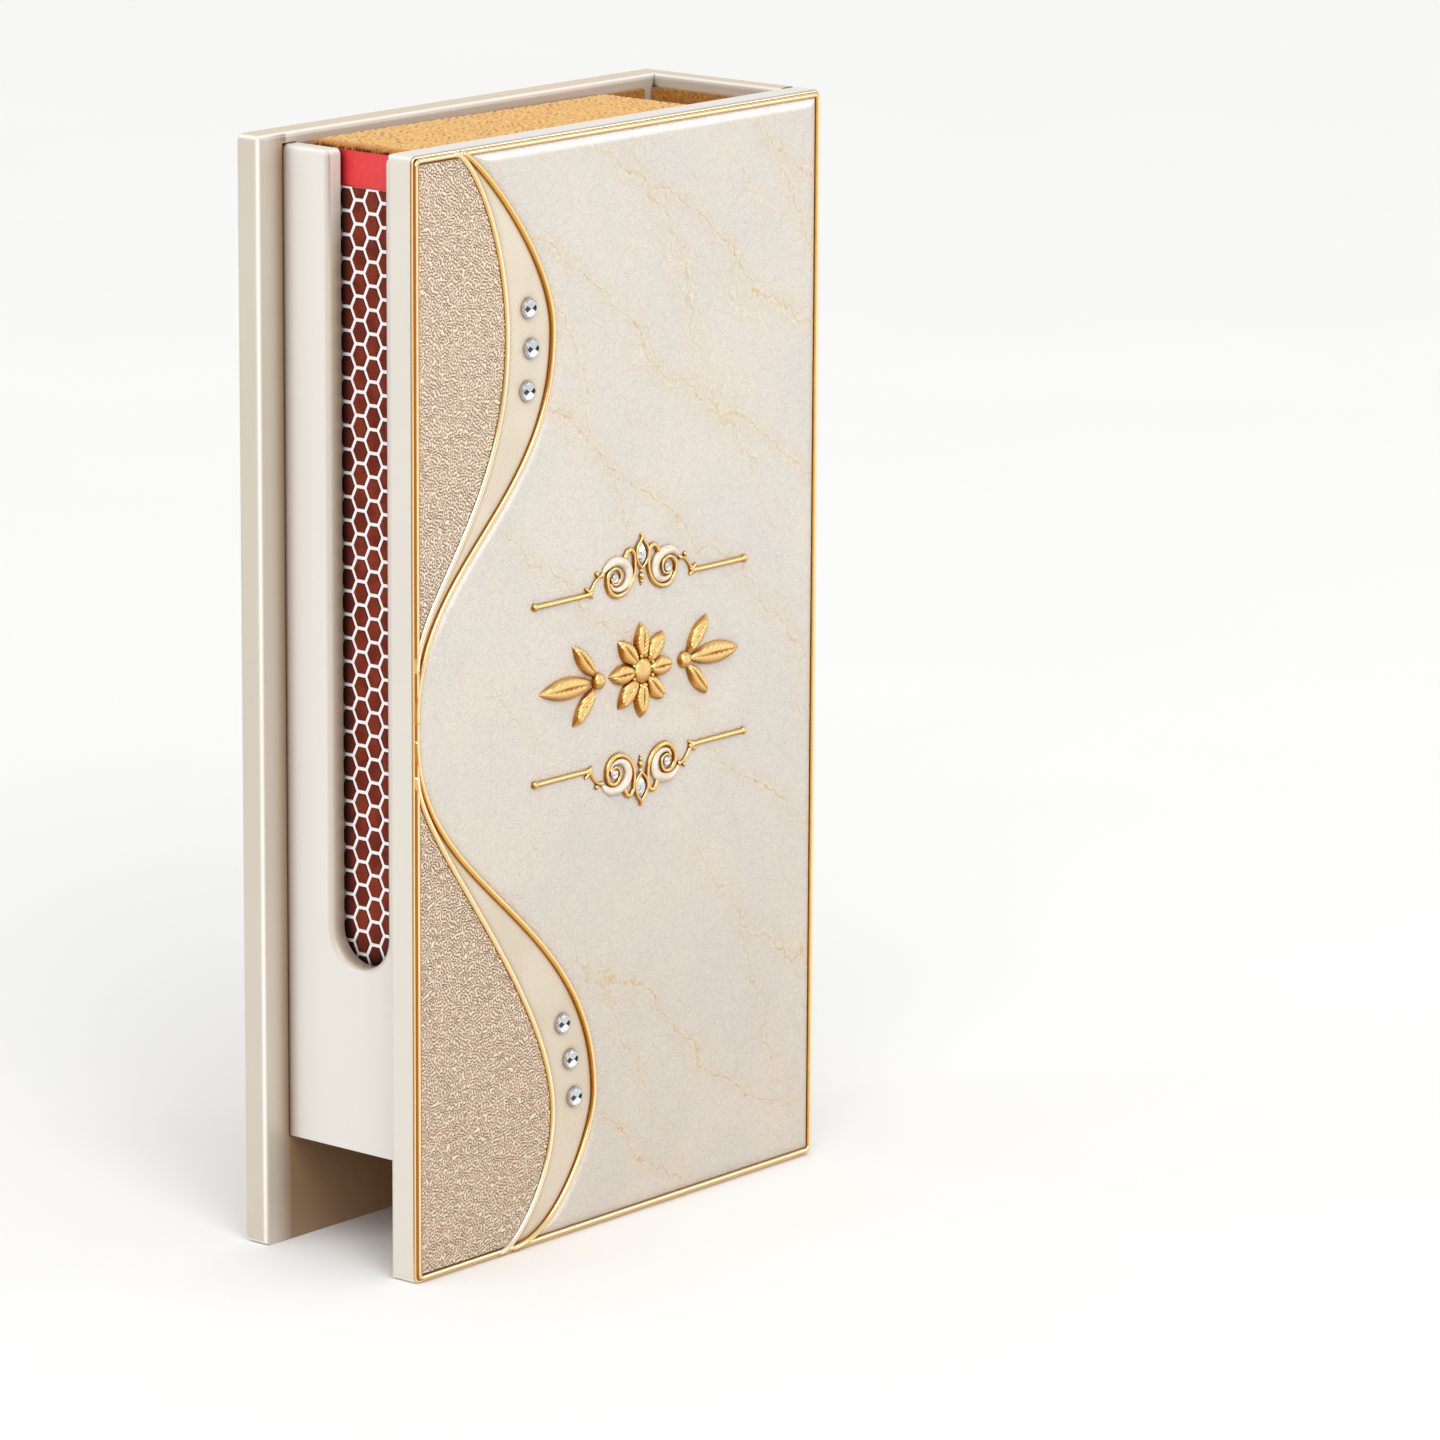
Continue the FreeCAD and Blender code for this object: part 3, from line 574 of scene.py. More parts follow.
def pearl():
    """Pearly cream enamel with a soft play of tones, painted shade on its sides that face down and right, and
    painted shade in crevices.
    """
    finish = Finish("pearl_enamel", {"Coat Weight": 0.8, "Coat Roughness": 0.08, "Sheen Weight": 0.2})
    finish.start(finish.patches(0.9, 3.0, distortion=1.0), (222, 206, 182), (236, 225, 208))
    # Painted shade on sides that face down and right, and in crevices.
    finish.tint(finish.towards(pearl_shade_side, 0.1, 0.85), (168, 136, 98))
    finish.tint(finish.crevice(1.0, 0.3, 0.9), (150, 114, 74))
    return finish.done((2.0, 2.0, 0.2, 0.34))


def grained(name, values, grain, dark, light, depth, stretch=None):
    """Dull stuff whose grain has a scale, a detail and a distortion."""
    finish = Finish(name, values)
    height = finish.noise(*grain, finish.stretched(stretch) if stretch else None)
    finish.start(finish.spread(height, 0.3, 0.7), dark, light)
    return finish.done(None, height, depth)


def lining_felt():
    """Golden-brown lining with a short nap."""
    values = {"Sheen Weight": 0.05, "Roughness": 0.85}
    return grained("gold_brown_lining", values, (3.5, 5.0, 0.0), (156, 98, 32), (198, 140, 58), 0.12)


def match_wood():
    """Split wood with a grain along the stick."""
    dark, light = (214, 170, 108), (244, 214, 158)
    return grained("match_wood", {"Roughness": 0.65}, (1.0, 5.0, 0.6), dark, light, 0.06, (9.0, 0.7, 0.7))


def match_compound():
    """Dull red striking compound."""
    return grained("match_head", {"Roughness": 0.6}, (4.0, 4.0, 0.0), (168, 18, 24), (214, 44, 46), 0.1)


def printed_card(name, deep, light, shine):
    """Printed card with paper fibres and painted shade in its crevices."""
    finish = Finish(name, {"Coat Weight": shine, "Coat Roughness": 0.35})
    fibres = finish.noise(1.4, 5.0, 0.5, finish.stretched((1.0, 1.0, 1.6)))
    finish.start(finish.spread(fibres, 0.2, 0.8), deep, light)
    # Painted shade: the tone darkens in crevices.
    finish.tint(finish.crevice(2.0, 0.3, 0.8), finish.vector("MULTIPLY", finish.tone, (0.35, 0.3, 0.3)))
    return finish.done((2.5, 3.0, 0.4, 0.56), fibres, 0.012)


def striking_coat():
    """Granular brown striking compound with painted shade, near black, in its crevices: towards the rims of
    its cells and where the slot's wall hems it in.
    """
    finish = Finish("striker_coat", {"Specular IOR Level": 0.15})
    grains = finish.noise(6.0, 4.0)
    finish.start(finish.patches(0.35, 2.0, 0.35, 0.65), (112, 36, 16), (138, 52, 28))
    finish.tint(finish.spread(grains, 0.4, 0.75, 0.0, 0.7), (92, 30, 20))
    # Painted shadow of the slot's wall and painted shade in crevices.
    finish.tint(finish.crevice(3.0, 0.5, 0.98), (24, 6, 4))
    return finish.done((6.0, 4.0, 0.5, 0.75), grains, 0.05)


def golden_pile():
    """Golden rough card of the tray's end: painted shade between its ridges, painted highlights on their
    tops, and darker in patches in the tufts at its edge.
    """
    finish = Finish("golden_pile", {"Specular IOR Level": 0.4, "Sheen Weight": 0.2})
    crown = [tray_high[2] + height for height in pad_crown]
    ground = finish.along("X", tray_low[0], tray_high[0], *crown)
    rise = finish.math("SUBTRACT", finish.along("Z"), ground)
    # Painted shade in the hollows and painted highlights on the ridge tops, by height over the crown.
    painted_shade_pits = finish.mix(finish.noise(0.8, 3.0), (184, 122, 48), (210, 148, 70))
    painted_highlight_backs = finish.mix(finish.noise(0.7, 3.0), (224, 170, 86), (246, 206, 134))
    finish.start(finish.spread(rise, -pad_height, pad_height), painted_shade_pits, painted_highlight_backs)
    tufts = finish.mix(finish.patches(1.6, 3.0, 0.42, 0.58), (92, 54, 14), (212, 152, 70))
    finish.tint(finish.spread(rise, *tuft_depths), tufts)
    return finish.done((4.0, 3.0, 0.45, 0.65), finish.noise(8.0, 3.0), 0.03)


def floor_paper():
    """Pale seamless paper."""
    finish = Finish("floor_paper", {"Roughness": 0.9, "Specular IOR Level": 0.1})
    finish.start(finish.noise(0.01), (246, 246, 245), (250, 250, 249))
    return finish.done()


def linked(name, data):
    """New object of the scene."""
    item = bpy.data.objects.new(name, data)
    bpy.context.scene.collection.objects.link(item)
    return item


def grid_faces(rows, columns, closed=False):
    """Quads of a grid of points, row by row. A closed grid joins its last column to its first."""
    across = columns if closed else columns - 1
    row, column = np.meshgrid(np.arange(rows - 1), np.arange(across), indexing="ij")
    here = row * columns + column
    beside = row * columns + (column + 1) % columns
    return np.stack([here, beside, beside + columns, here + columns], axis=-1).reshape(-1, 4)


class Shape:
    """Points, in millimetres, and faces that are gathered into one piece."""

    def __init__(self):
        self.points = []
        self.faces = []
        self.materials = []
        self.count = 0

    def add(self, points, faces, material=0, outward=1):
        """Adds faces, turned over if outward is -1."""
        points = np.asarray(points, float).reshape(-1, 3)
        for face in faces:
            self.faces.append([int(corner) + self.count for corner in face][::outward])
            self.materials.append(material)
        self.points.append(points)
        self.count += len(points)

    def sheet(self, points, outward=1):
        """Adds a grid of points and a flat face that closes it from behind."""
        rows, columns = points.shape[:2]
        index = np.arange(rows * columns).reshape(rows, columns)
        rim = np.concatenate([index[0, :-1], index[:-1, -1], index[-1, :0:-1], index[:0:-1, 0]])
        self.add(points, grid_faces(rows, columns).tolist() + [rim[::-1]], 0, outward)

    def tube(self, rings, outward=1):
        """Adds a tube through rings of points, with flat ends."""
        rows, sides = rings.shape[:2]
        ends = [range(sides)[::-1], range((rows - 1) * sides, rows * sides)]
        self.add(rings, grid_faces(rows, sides, True).tolist() + ends, 0, outward)

    def piece(self, name, slot, materials, replaced=(), body="holder", sharp=50.0):
        """Makes the mesh, in metres, and lets it ride on a body."""
        mesh = bpy.data.meshes.new(name)
        mesh.from_pydata(np.vstack(self.points) * mm, [], self.faces)
        for material in materials:
            mesh.materials.append(material)
        mesh.polygons.foreach_set("material_index", self.materials)
        mesh.polygons.foreach_set("use_smooth", [True] * len(self.faces))
        mesh.set_sharp_from_angle(angle=math.radians(sharp))
        mesh.update()
        piece = linked(name, mesh)
        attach(piece, body)
        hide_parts(*replaced)
        return piece


def grid_points(x, y, z):
    """Points from their three parts."""
    return np.stack(np.broadcast_arrays(x, y, z), axis=-1)


def turns(sides):
    """Cosines and sines of even steps round a circle."""
    turn = np.linspace(0, 2 * math.pi, sides, endpoint=False)
    return np.cos(turn), np.sin(turn)


def smooth_line(points, steps=10):
    """Smooth line through points of any dimension."""
    points = np.asarray(points, float)
    ends = np.vstack([2 * points[0] - points[1], points, 2 * points[-1] - points[-2]])
    t = np.linspace(0, 1, steps, endpoint=False)[:, None]
    spans = []
    for a, b, c, d in zip(ends, ends[1:], ends[2:], ends[3:]):
        spans.append(0.5 * (2 * b + (c - a) * t + (2 * a - 5 * b + 4 * c - d) * t ** 2
                            + (3 * b - a - 3 * c + d) * t ** 3))
    return np.vstack(spans + [points[-1:]])


def arc(centre, radius, start, end, steps=9):
    """Points of an arc in the front's plane, in degrees from +X."""
    turn = np.radians(np.linspace(start, end, steps))
    return np.column_stack([centre[0] + radius * np.cos(turn), centre[1] + radius * np.sin(turn)])


def rounded_ends(line, radii):
    """Line with points more at each end, over which its radius falls off as a ball's does."""
    falls = np.radians([80, 55, 28])
    for _ in range(2):
        ahead = (line[0] - line[1]) / np.linalg.norm(line[0] - line[1])
        line = np.vstack([line[0] + radii[0] * np.sin(falls)[:, None] * ahead, line])[::-1]
        radii = np.append(radii[0] * np.cos(falls), radii)[::-1]
    return line, radii


def rings_along(line, ahead, radii, depth, sides):
    """Rings of points round a line on the front, square to its direction."""
    ahead = ahead / np.linalg.norm(ahead, axis=1)[:, None]
    cosines, sines = turns(sides)
    across = radii[:, None] * cosines
    x = line[:, :1] + across * ahead[:, 1:]
    z = line[:, 1:] - across * ahead[:, :1]
    return grid_points(x, depth - radii[:, None] * sines, z)


def bar(shape, line, radii, depth, sides=12):
    """Round bar along a line on the front, with rounded ends."""
    line, radii = rounded_ends(line, radii)
    shape.tube(rings_along(line, np.gradient(line, axis=0), radii, depth, sides))


def closed_bar(shape, line, radii, depth, sides, material):
    """Round bar along a closed line on the front."""
    ahead = np.roll(line, -1, axis=0) - np.roll(line, 1, axis=0)
    rings = rings_along(line, ahead, radii, depth, sides)
    shape.add(rings, grid_faces(len(line) + 1, sides, True) % (len(line) * sides), material)


def turned(shape, place, profile, sides=24):
    """Turned form on the front: a profile of radii and heights over the leather."""
    profile = np.asarray(profile, float)
    cosines, sines = turns(sides)
    x = place[0] + profile[:, :1] * cosines
    z = place[1] - profile[:, :1] * sines
    shape.tube(grid_points(x, leather_y - profile[:, 1:], z))


def ball(shape, place, radius, rise=0.1):
    """Ball that is a little sunk in the leather."""
    turn = np.radians(np.linspace(-60, 85, 9))
    turned(shape, place, np.column_stack([radius * np.cos(turn), rise + radius * np.sin(turn)]), 20)


def dome(shape, place, radius, height):
    """Low dome with a steep side."""
    turn = np.radians(np.linspace(0, 84, 8))
    profile = np.column_stack([radius * np.cos(turn), 0.35 * height + 0.65 * height * np.sin(turn)])
    turned(shape, place, np.vstack([[(radius * 1.02, 0.0)], profile]), 32)


def wave_line(name):
    """Points of a wave line, from its tail over its apex to the top or bottom border."""
    tail_z, apex_x, apex_z, end_x = wave_places[name]
    tail_share, in_share, out_share, end_share = wave_handle_shares[name]
    border_z = line_high if name.startswith("upper") else line_low
    tail = Vector((line_left, tail_z))
    apex = Vector((left_x + apex_x, apex_z))
    end = Vector((left_x + end_x, border_z))
    climb = Vector((0, apex_z - tail_z))
    last = Vector((0, border_z - apex_z))
    reach = Vector((end_share * (apex.x - end.x), 0))
    handles = (tail + climb * tail_share, apex - climb * in_share)
    first = geometry.interpolate_bezier(tail, *handles, apex, wave_steps)
    second = geometry.interpolate_bezier(apex, apex + last * out_share, end + reach, end, wave_steps)
    return np.array([point[:2] for point in first + second[1:]])


def wave_x(name, z):
    """How far across a wave line is at some heights."""
    line = wave_line(name)
    order = np.argsort(line[:, 1])
    return np.interp(z, line[order, 1], line[order, 0])


def rows_between(low, high, pitch, roll_width):
    """Places of a panel's rows, closer together at its rolled edges."""
    roll = np.array(roll_shares) * min(roll_width, (high - low) / 3)
    middle = np.linspace(low + roll[-1], high - roll[-1], max(4, int((high - low) / pitch)))
    return np.concatenate([low + roll[:-1], middle, (high - roll[:-1])[::-1]])


def swell(x, z):
    """Slow unevenness of smooth leather."""
    heights = [noise.noise(Vector((a * swell_pace, b * swell_pace, 0))) for a, b in zip(x.flat, z.flat)]
    return leather_swell * np.array(heights).reshape(x.shape)


def random_waves(x, z, period):
    """Sum of many waves of about one period that run in all directions."""
    total = np.zeros_like(x)
    for _ in range(wave_count):
        turn, phase = random.uniform(0, 2 * math.pi, 2)
        pace = 2 * math.pi / (period * random.uniform(*wave_paces))
        total += np.cos(pace * (x * math.cos(turn) + z * math.sin(turn)) + phase)
    return total / math.sqrt(wave_count / 2)


def winding_ridges(x, z, period):
    """Short winding ridges from -1 to 1, about one period apart and bent by slower waves."""
    bend = ridge_bend * period
    across = x + bend * random_waves(x, z, ridge_drift * period)
    up = z + bend * random_waves(x, z, ridge_drift * period)
    return np.tanh(ridge_steepness * (random_waves(across, up, period) - ridge_level))


def panel(left, right, heights, front_y, pitch, roll_width, relief):
    """Leather panel between two edge functions of height, with rolled edges, a relief and a flat back."""
    low, high = heights
    z = rows_between(low, high, pitch, roll_width)
    x_left = left(z)
    width = (right(z) - x_left)[:, None]
    columns = max(6, int(width.max() / pitch))
    roll = np.minimum(1.0, width / (3 * roll_width)) * roll_width * np.array(roll_shares)
    inner = roll[:, -1:] + (width - 2 * roll[:, -1:]) * np.linspace(0, 1, columns)[1:-1]
    across = np.hstack([roll, inner, (width - roll)[:, ::-1]])
    x = x_left[:, None] + across
    height = np.broadcast_to(z[:, None], x.shape)
    lean_left, lean_right = [np.hypot(1, np.gradient(side(z), z))[:, None] for side in (left, right)]
    edge = np.minimum(across / lean_left, (width - across) / lean_right)
    edge = np.minimum(edge, np.minimum(height - low, high - height))
    inside = np.clip(edge / roll_width, 0, 1)
    y = front_y + roll_drop * (1 - inside) ** 2 - inside * relief(x, height)
    y[edge < seam / 10] = board_y
    shape = Shape()
    shape.sheet(grid_points(x, y, height))
    return shape


def outer_edge(z):
    """Left edge of the marbled leather."""
    waves = np.maximum(wave_x("upper_outer", z), wave_x("lower_outer", z))
    return np.maximum(waves + wave_half, field_left)


def heights_with_room(left, right):
    """Lowest and highest height at which a panel is wide enough."""
    z = np.linspace(field_low, field_high, 2000)
    wide = z[right(z) - left(z) > smallest_width]
    return wide.min(), wide.max()


def marble_panel(material):
    """Large marbled field."""
    right = lambda z: np.full_like(z, field_right)
    shape = panel(outer_edge, right, (field_low, field_high), leather_y, leather_pitch, leather_roll, swell)
    shape.piece("marbled_leather_front", "marbled_leather", [material], ["marble_leather_panel"])


def textured_lobe(half, material):
    """Lobe of embossed leather between the left border and an inner wave line."""
    left = lambda z: np.full_like(z, field_left)
    right = lambda z: wave_x(half + "_inner", z) - wave_half
    relief = lambda x, z: texture_height * winding_ridges(x, z, texture_period)
    ground = leather_y + texture_sink
    shape = panel(left, right, heights_with_room(left, right), ground, texture_pitch, texture_roll, relief)
    shape.piece(half + "_textured_leather", "textured_leather", [material], [half + "_textured_inlay"])


def crescent(half, material):
    """Plain crescent between an inner and an outer wave line."""
    left = lambda z: np.maximum(wave_x(half + "_inner", z) + wave_half, field_left)
    right = lambda z: wave_x(half + "_outer", z) - wave_half
    ground = leather_y + texture_sink / 2
    shape = panel(left, right, heights_with_room(left, right), ground, leather_pitch, leather_roll, swell)
    shape.piece(half + "_cream_leather", "cream_leather", [material], [half + "_crescent_inlay"])


def wavering(line, radius):
    """Radii along a line that waver a little, as a hand-laid bead's do."""
    wave = np.array([noise.noise(Vector((*(point * bead_waver_pace), 8.0))) for point in line])
    return radius * (1 + bead_waver * wave)


def border_line(inward):
    """Closed line of the border, with round corners, moved inward by a given length."""
    inset = inward + border_corner
    left, right, low, high = line_left + inset, line_right - inset, line_low + inset, line_high - inset
    centres = ((right, high), (left, high), (left, low), (right, low))
    corners = [arc(centre, border_corner, 90 * turn, 90 * turn + 90) for turn, centre in enumerate(centres)]
    points = np.vstack(corners)
    sides = []
    for here, there in zip(points, np.roll(points, -1, axis=0)):
        count = max(1, int(np.linalg.norm(there - here) / border_step))
        sides.append(here + (there - here) * np.linspace(0, 1, count, endpoint=False)[:, None])
    return np.vstack(sides)


def pipings(material, border_material, rim_material):
    """Gold beads of the border and the wave lines. The border has a thin pale bead outside its main one."""
    depth = board_y - bead_rise
    border = Shape()
    for index, (inward, radius, sink) in enumerate(border_beads):
        line = border_line(inward)
        closed_bar(border, line, wavering(line, radius), depth + sink, 16, index)
    border.piece("border_bead", "polished_gold", [rim_material, border_material], ["border_piping"])
    for name in wave_places:
        wave = Shape()
        line = wave_line(name)
        bar(wave, line, wavering(line, wave_radius), depth, 14)
        tone = rim_material if name.endswith("inner") else material
        wave.piece(name + "_bead", "polished_gold", [tone], [name + "_piping"])


def crystal_places():
    """Middles of the six round stones, from the cups in the frame."""
    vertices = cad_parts["crystal_cups"].data.vertices
    points = np.array([(vertex.co.x, vertex.co.z) for vertex in vertices]) / mm
    middles = []
    for point in points:
        if all(np.hypot(*(point - known)) > cup_reach for known in middles):
            near = points[np.hypot(*(points - point).T) < cup_reach]
            middles.append((near.min(axis=0) + near.max(axis=0)) / 2)
    return middles


def facet_tone(reach, angle):
    """Painted reflection of a facet by its place: dark to the left and right, white below, grey above and at
    the rim.
    """
    if reach > 0.84:
        return 0.5 + 0.35 * math.sin(math.radians(3 * angle)) ** 2
    if min(angle, 360 - angle) < 20 and reach > 0.1:
        return 0.02
    if abs(angle - 180) < 20 and reach > 0.1:
        return 0.06
    return 0.62 if angle < 180 else 1.0


def stone_ring(place, radius, height, count, offset=0.0):
    """Ring of a stone's corners at a height over the leather."""
    turn = 2 * math.pi * (np.arange(count) + offset) / count
    return grid_points(place[0] + radius * np.cos(turn), leather_y - height, place[1] + radius * np.sin(turn))


def cut_stone(shape, tones, place, radius, foot, crown):
    """Round cut stone: table, stars, kites and girdle facets, each with a painted reflection tone of its own.
    """
    sides = stone_sides
    bezel_reach, bezel_rise = stone_bezel_shares
    points = np.vstack([stone_ring(place, radius * stone_table_share, foot + crown, sides),
                        stone_ring(place, radius * bezel_reach, foot + bezel_rise * crown, sides, 0.5),
                        stone_ring(place, radius, foot, 2 * sides),
                        stone_ring(place, radius, foot - stone_girdle, 2 * sides)])
    bezel, girdle, base = sides, 2 * sides, 4 * sides
    faces = [list(range(sides))]
    for step in range(sides):
        rim = girdle + 2 * step
        faces.append([step, bezel + step, (step + 1) % sides])
        faces.append([bezel + (step - 1) % sides, rim, bezel + step, step])
        faces.append([bezel + step, rim, rim + 1])
        faces.append([bezel + step, rim + 1, girdle + (2 * step + 2) % (2 * sides)])
    for step in range(2 * sides):
        onward = (step + 1) % (2 * sides)
        faces.append([girdle + step, base + step, base + onward, girdle + onward])
    faces.append(list(range(base, base + 2 * sides))[::-1])
    faces = [face[::-1] for face in faces]
    for face in faces:
        middle = points[face].mean(axis=0) - (place[0], 0, place[1])
        angle = math.degrees(math.atan2(middle[2], middle[0])) % 360
        tones.append(facet_tone(math.hypot(middle[0], middle[2]) / radius, angle))
    shape.add(points, faces)


def stones(name, material, shape, tones, node):
    """Piece of cut stones whose facets keep their painted reflection tones."""
    piece = shape.piece(name, "clear_crystal", [material], [node], sharp=1.0)
    tone = piece.data.attributes.new("tone", "FLOAT", "FACE")
    tone.data.foreach_set("value", tones)


def round_stones(cup_material, stone_material):
    """Six round stones in turned cups."""
    cups = Shape()
    gems = Shape()
    tones = []
    places = crystal_places()
    radius = cup_scale * (box_mm("crystal_cups")[1][2] - max(z for _, z in places))
    inner = radius - 2 * cup_rim
    foot = [(radius * cup_foot_scale, 0.0), (radius, cup_foot_height)]
    rim = arc((radius - cup_rim, cup_wall_height), cup_rim, 0, 180, 8)
    profile = np.vstack([foot, rim, [(inner, stone_seat - cup_depth)]])
    for place in places:
        turned(cups, place, profile, 32)
        cut_stone(gems, tones, place, inner, stone_seat, stone_crown)
    cups.piece("crystal_settings", "silver_cup", [cup_material], ["crystal_cups"])
    stones("cut_round_crystals", stone_material, gems, tones, "round_crystals")


def ornament(points, side, flip):
    """Places on the front of points given as reach, height over the rods, and anything more."""
    points = np.array(points, float)
    points[:, 0] = ornament_x + side * points[:, 0]
    points[:, 1] = ornament_z + flip * (ornament_rise + points[:, 1])
    return points


def ornament_bar(shape, line, side, flip, rise, sides=12):
    """Bar of a scroll ornament."""
    placed = ornament(line, side, flip)
    bar(shape, placed[:, :2], placed[:, 2], leather_y - rise, sides)


def ornament_balls(shape, points, side, flip):
    """Balls of a scroll ornament."""
    for x, z, radius in ornament(points, side, flip):
        ball(shape, (x, z), radius)


def volute_line():
    """Hook, stem and inward spiral, with the wire's radius at each point."""
    spiral = []
    start = np.array(volute_foot)
    for quarter, radius in enumerate(volute_radii):
        angle = 180 + 90 * quarter
        turn = math.radians(angle)
        centre = start - radius * np.array([math.cos(turn), math.sin(turn)])
        points = arc(centre, radius, angle, angle + 90)
        spiral.append(points[1:] if spiral else points)
        start = points[-1]
    spiral = np.vstack(spiral)
    share = np.linspace(0, 1, len(spiral))
    wire, belly, taper = volute_wire
    girth = wire + belly * np.sin(math.pi * np.minimum(1, share * 1.6)) - taper * share
    return np.vstack([smooth_line(hook_points, 6)[:-1], np.column_stack([spiral, girth])])


def scroll_gold(half, flip, material):
    """Gold of one scroll ornament: rods, knots, volutes, leaf frame and drop."""
    shape = Shape()
    for side in (1, -1):
        for line in (smooth_line(rod_points), smooth_line(knot_points), volute_line()):
            ornament_bar(shape, line, side, flip, scroll_rise)
        ornament_balls(shape, side_balls, side, flip)
        ornament_bar(shape, smooth_line(frame_points), side, flip, frame_rise)
    ornament_balls(shape, middle_balls, 1, flip)
    shape.piece(half + "_scrollwork", "polished_gold", [material], [half + "_scroll_ornament"])


def scroll_pearls(material):
    """Pearl bodies of the volutes, which follow the spiral inwards, and a pearl between them."""
    shape = Shape()
    for flip in (1, -1):
        for side in (1, -1):
            ornament_bar(shape, smooth_line(pearl_points), side, flip, pearl_rise, 16)
        ornament_balls(shape, pearl_balls, 1, flip)
    shape.piece("scroll_pearls", "pearl_enamel", [material], ["scroll_pearl_inlays"])


def scroll_stones(material):
    """Eye stones of the volutes and the pointed stones of the leaves."""
    eyes = Shape()
    eye_tones = []
    marquises = Shape()
    tones = []
    for flip in (1, -1):
        for side in (1, -1):
            cut_stone(eyes, eye_tones, ornament([eye_place], side, flip)[0], eye_radius, eye_seat, eye_crown)
        pointed_stone(marquises, tones, flip)
    # Painted reflection: no facet of the eye stones is darker than a least tone.
    bright = [max(tone, eye_least_tone) for tone in eye_tones]
    stones("volute_eye_stones", material, eyes, bright, "volute_crystals")
    stones("marquise_stones", material, marquises, tones, "marquise_crystals")


def pointed_stone(shape, tones, flip):
    """Marquise stone: an outline of two arcs, stepped facets and a table."""
    share = np.linspace(-1, 1, 7)
    half = marquise_half_width * (1 - share ** 2)
    height = marquise_middle + marquise_half_height * share
    outline = np.column_stack([np.append(half, -half[5:0:-1]), np.append(height, height[5:0:-1])])
    middle = np.array([0.0, marquise_table_middle])
    table = middle + (outline - middle) * marquise_table_shares
    points = []
    for line, rise in zip((outline, table, outline), marquise_heights):
        x, z = ornament(line, 1, flip).T
        points.append(grid_points(x, leather_y - rise, z))
    count = len(outline)
    faces = []
    for step in range(count):
        onward = (step + 1) % count
        faces.append([step, onward, count + onward])
        faces.append([step, count + onward, count + step])
        faces.append([2 * count + step, 2 * count + onward, onward, step])
    faces.append(range(count, 2 * count))
    faces.append(range(2 * count, 3 * count)[::-1])
    # Painted reflections of the marquise facets, in a fixed round of tones.
    tones.extend(0.35 + 0.65 * ((7 * index) % 5) / 4 for index in range(len(faces)))
    shape.add(points, faces, 0, -flip)


def leaf(shape, root, angle, size, motif_height):
    """Raised pointed leaf with steep rounded sides, a soft back and a groove along its middle."""
    start, end, half_width, height_share = size
    along = np.linspace(0.0, 1.0, 33)[:, None]
    across = np.linspace(-1, 1, 25)
    width = np.maximum(half_width * np.sin(math.pi * along) ** 0.85, leaf_tip)
    u = start + (end - start) * along
    v = width * across
    body = (1 - np.abs(across) ** 6) ** 0.5 * (0.82 + 0.18 * (1 - across ** 2))
    groove = leaf_groove[0] * np.exp(-(across / leaf_groove[1]) ** 2)
    full = np.minimum(1, width / half_width * 1.6)
    out = motif_height * height_share * full * (body - groove * full * (1 - np.abs(2 * along - 1)))
    turn = math.radians(angle)
    x = root[0] + u * math.cos(turn) - v * math.sin(turn)
    z = root[1] + u * math.sin(turn) + v * math.cos(turn)
    shape.sheet(grid_points(x, leather_y - out, z), -1)


def centre_motif(material):
    """Rosette between two leaf sprays."""
    height = leather_y - box_mm("centre_rosette")[0][1]
    root = (ornament_x, ornament_z)
    rosette = Shape()
    for step in range(petal_count):
        leaf(rosette, root, 360 * step / petal_count, petal, height)
    dome(rosette, root, boss_radius, height)
    for place in arc(root, boss_bead_reach, 0, 360, boss_bead_count + 1)[:-1]:
        ball(rosette, place, *boss_bead_size)
    rosette.piece("raised_rosette", "satin_gold", [material], ["centre_rosette"])
    sprays = Shape()
    for side, facing in ((1, 0), (-1, 180)):
        foot = (root[0] + side * spray_reach, root[1])
        for turn, size in ((0, long_leaf), (short_leaf_turn, short_leaf), (-short_leaf_turn, short_leaf)):
            leaf(sprays, foot, facing + turn, size, height)
        dome(sprays, foot, spray_boss_radius, height)
    sprays.piece("raised_leaf_sprays", "satin_gold", [material], ["centre_leaf_sprays"])


def clipped(polygon, axis, limit, keep):
    """Part of a polygon on one side of a limit."""
    result = []
    for here, there in zip(polygon, polygon[1:] + polygon[:1]):
        inside = keep * (here[axis] - limit) >= 0
        if inside:
            result.append(here)
        if inside != (keep * (there[axis] - limit) >= 0):
            share = (limit - here[axis]) / (there[axis] - here[axis])
            result.append(tuple(a + share * (b - a) for a, b in zip(here, there)))
    return result


def hexagon(middle):
    """Corners of a cell: a hexagon that stands on a side, less half a line all round."""
    half_width = cell_step / 1.5 - cell_line / 2 / math.cos(math.radians(30))
    half_height = cell_rise / 2 - cell_line / 2
    shares = ((1, 0), (0.5, 1), (-0.5, 1), (-1, 0), (-0.5, -1), (0.5, -1))
    return [(middle[0] + half_width * across, middle[1] + half_height * up) for across, up in shares]


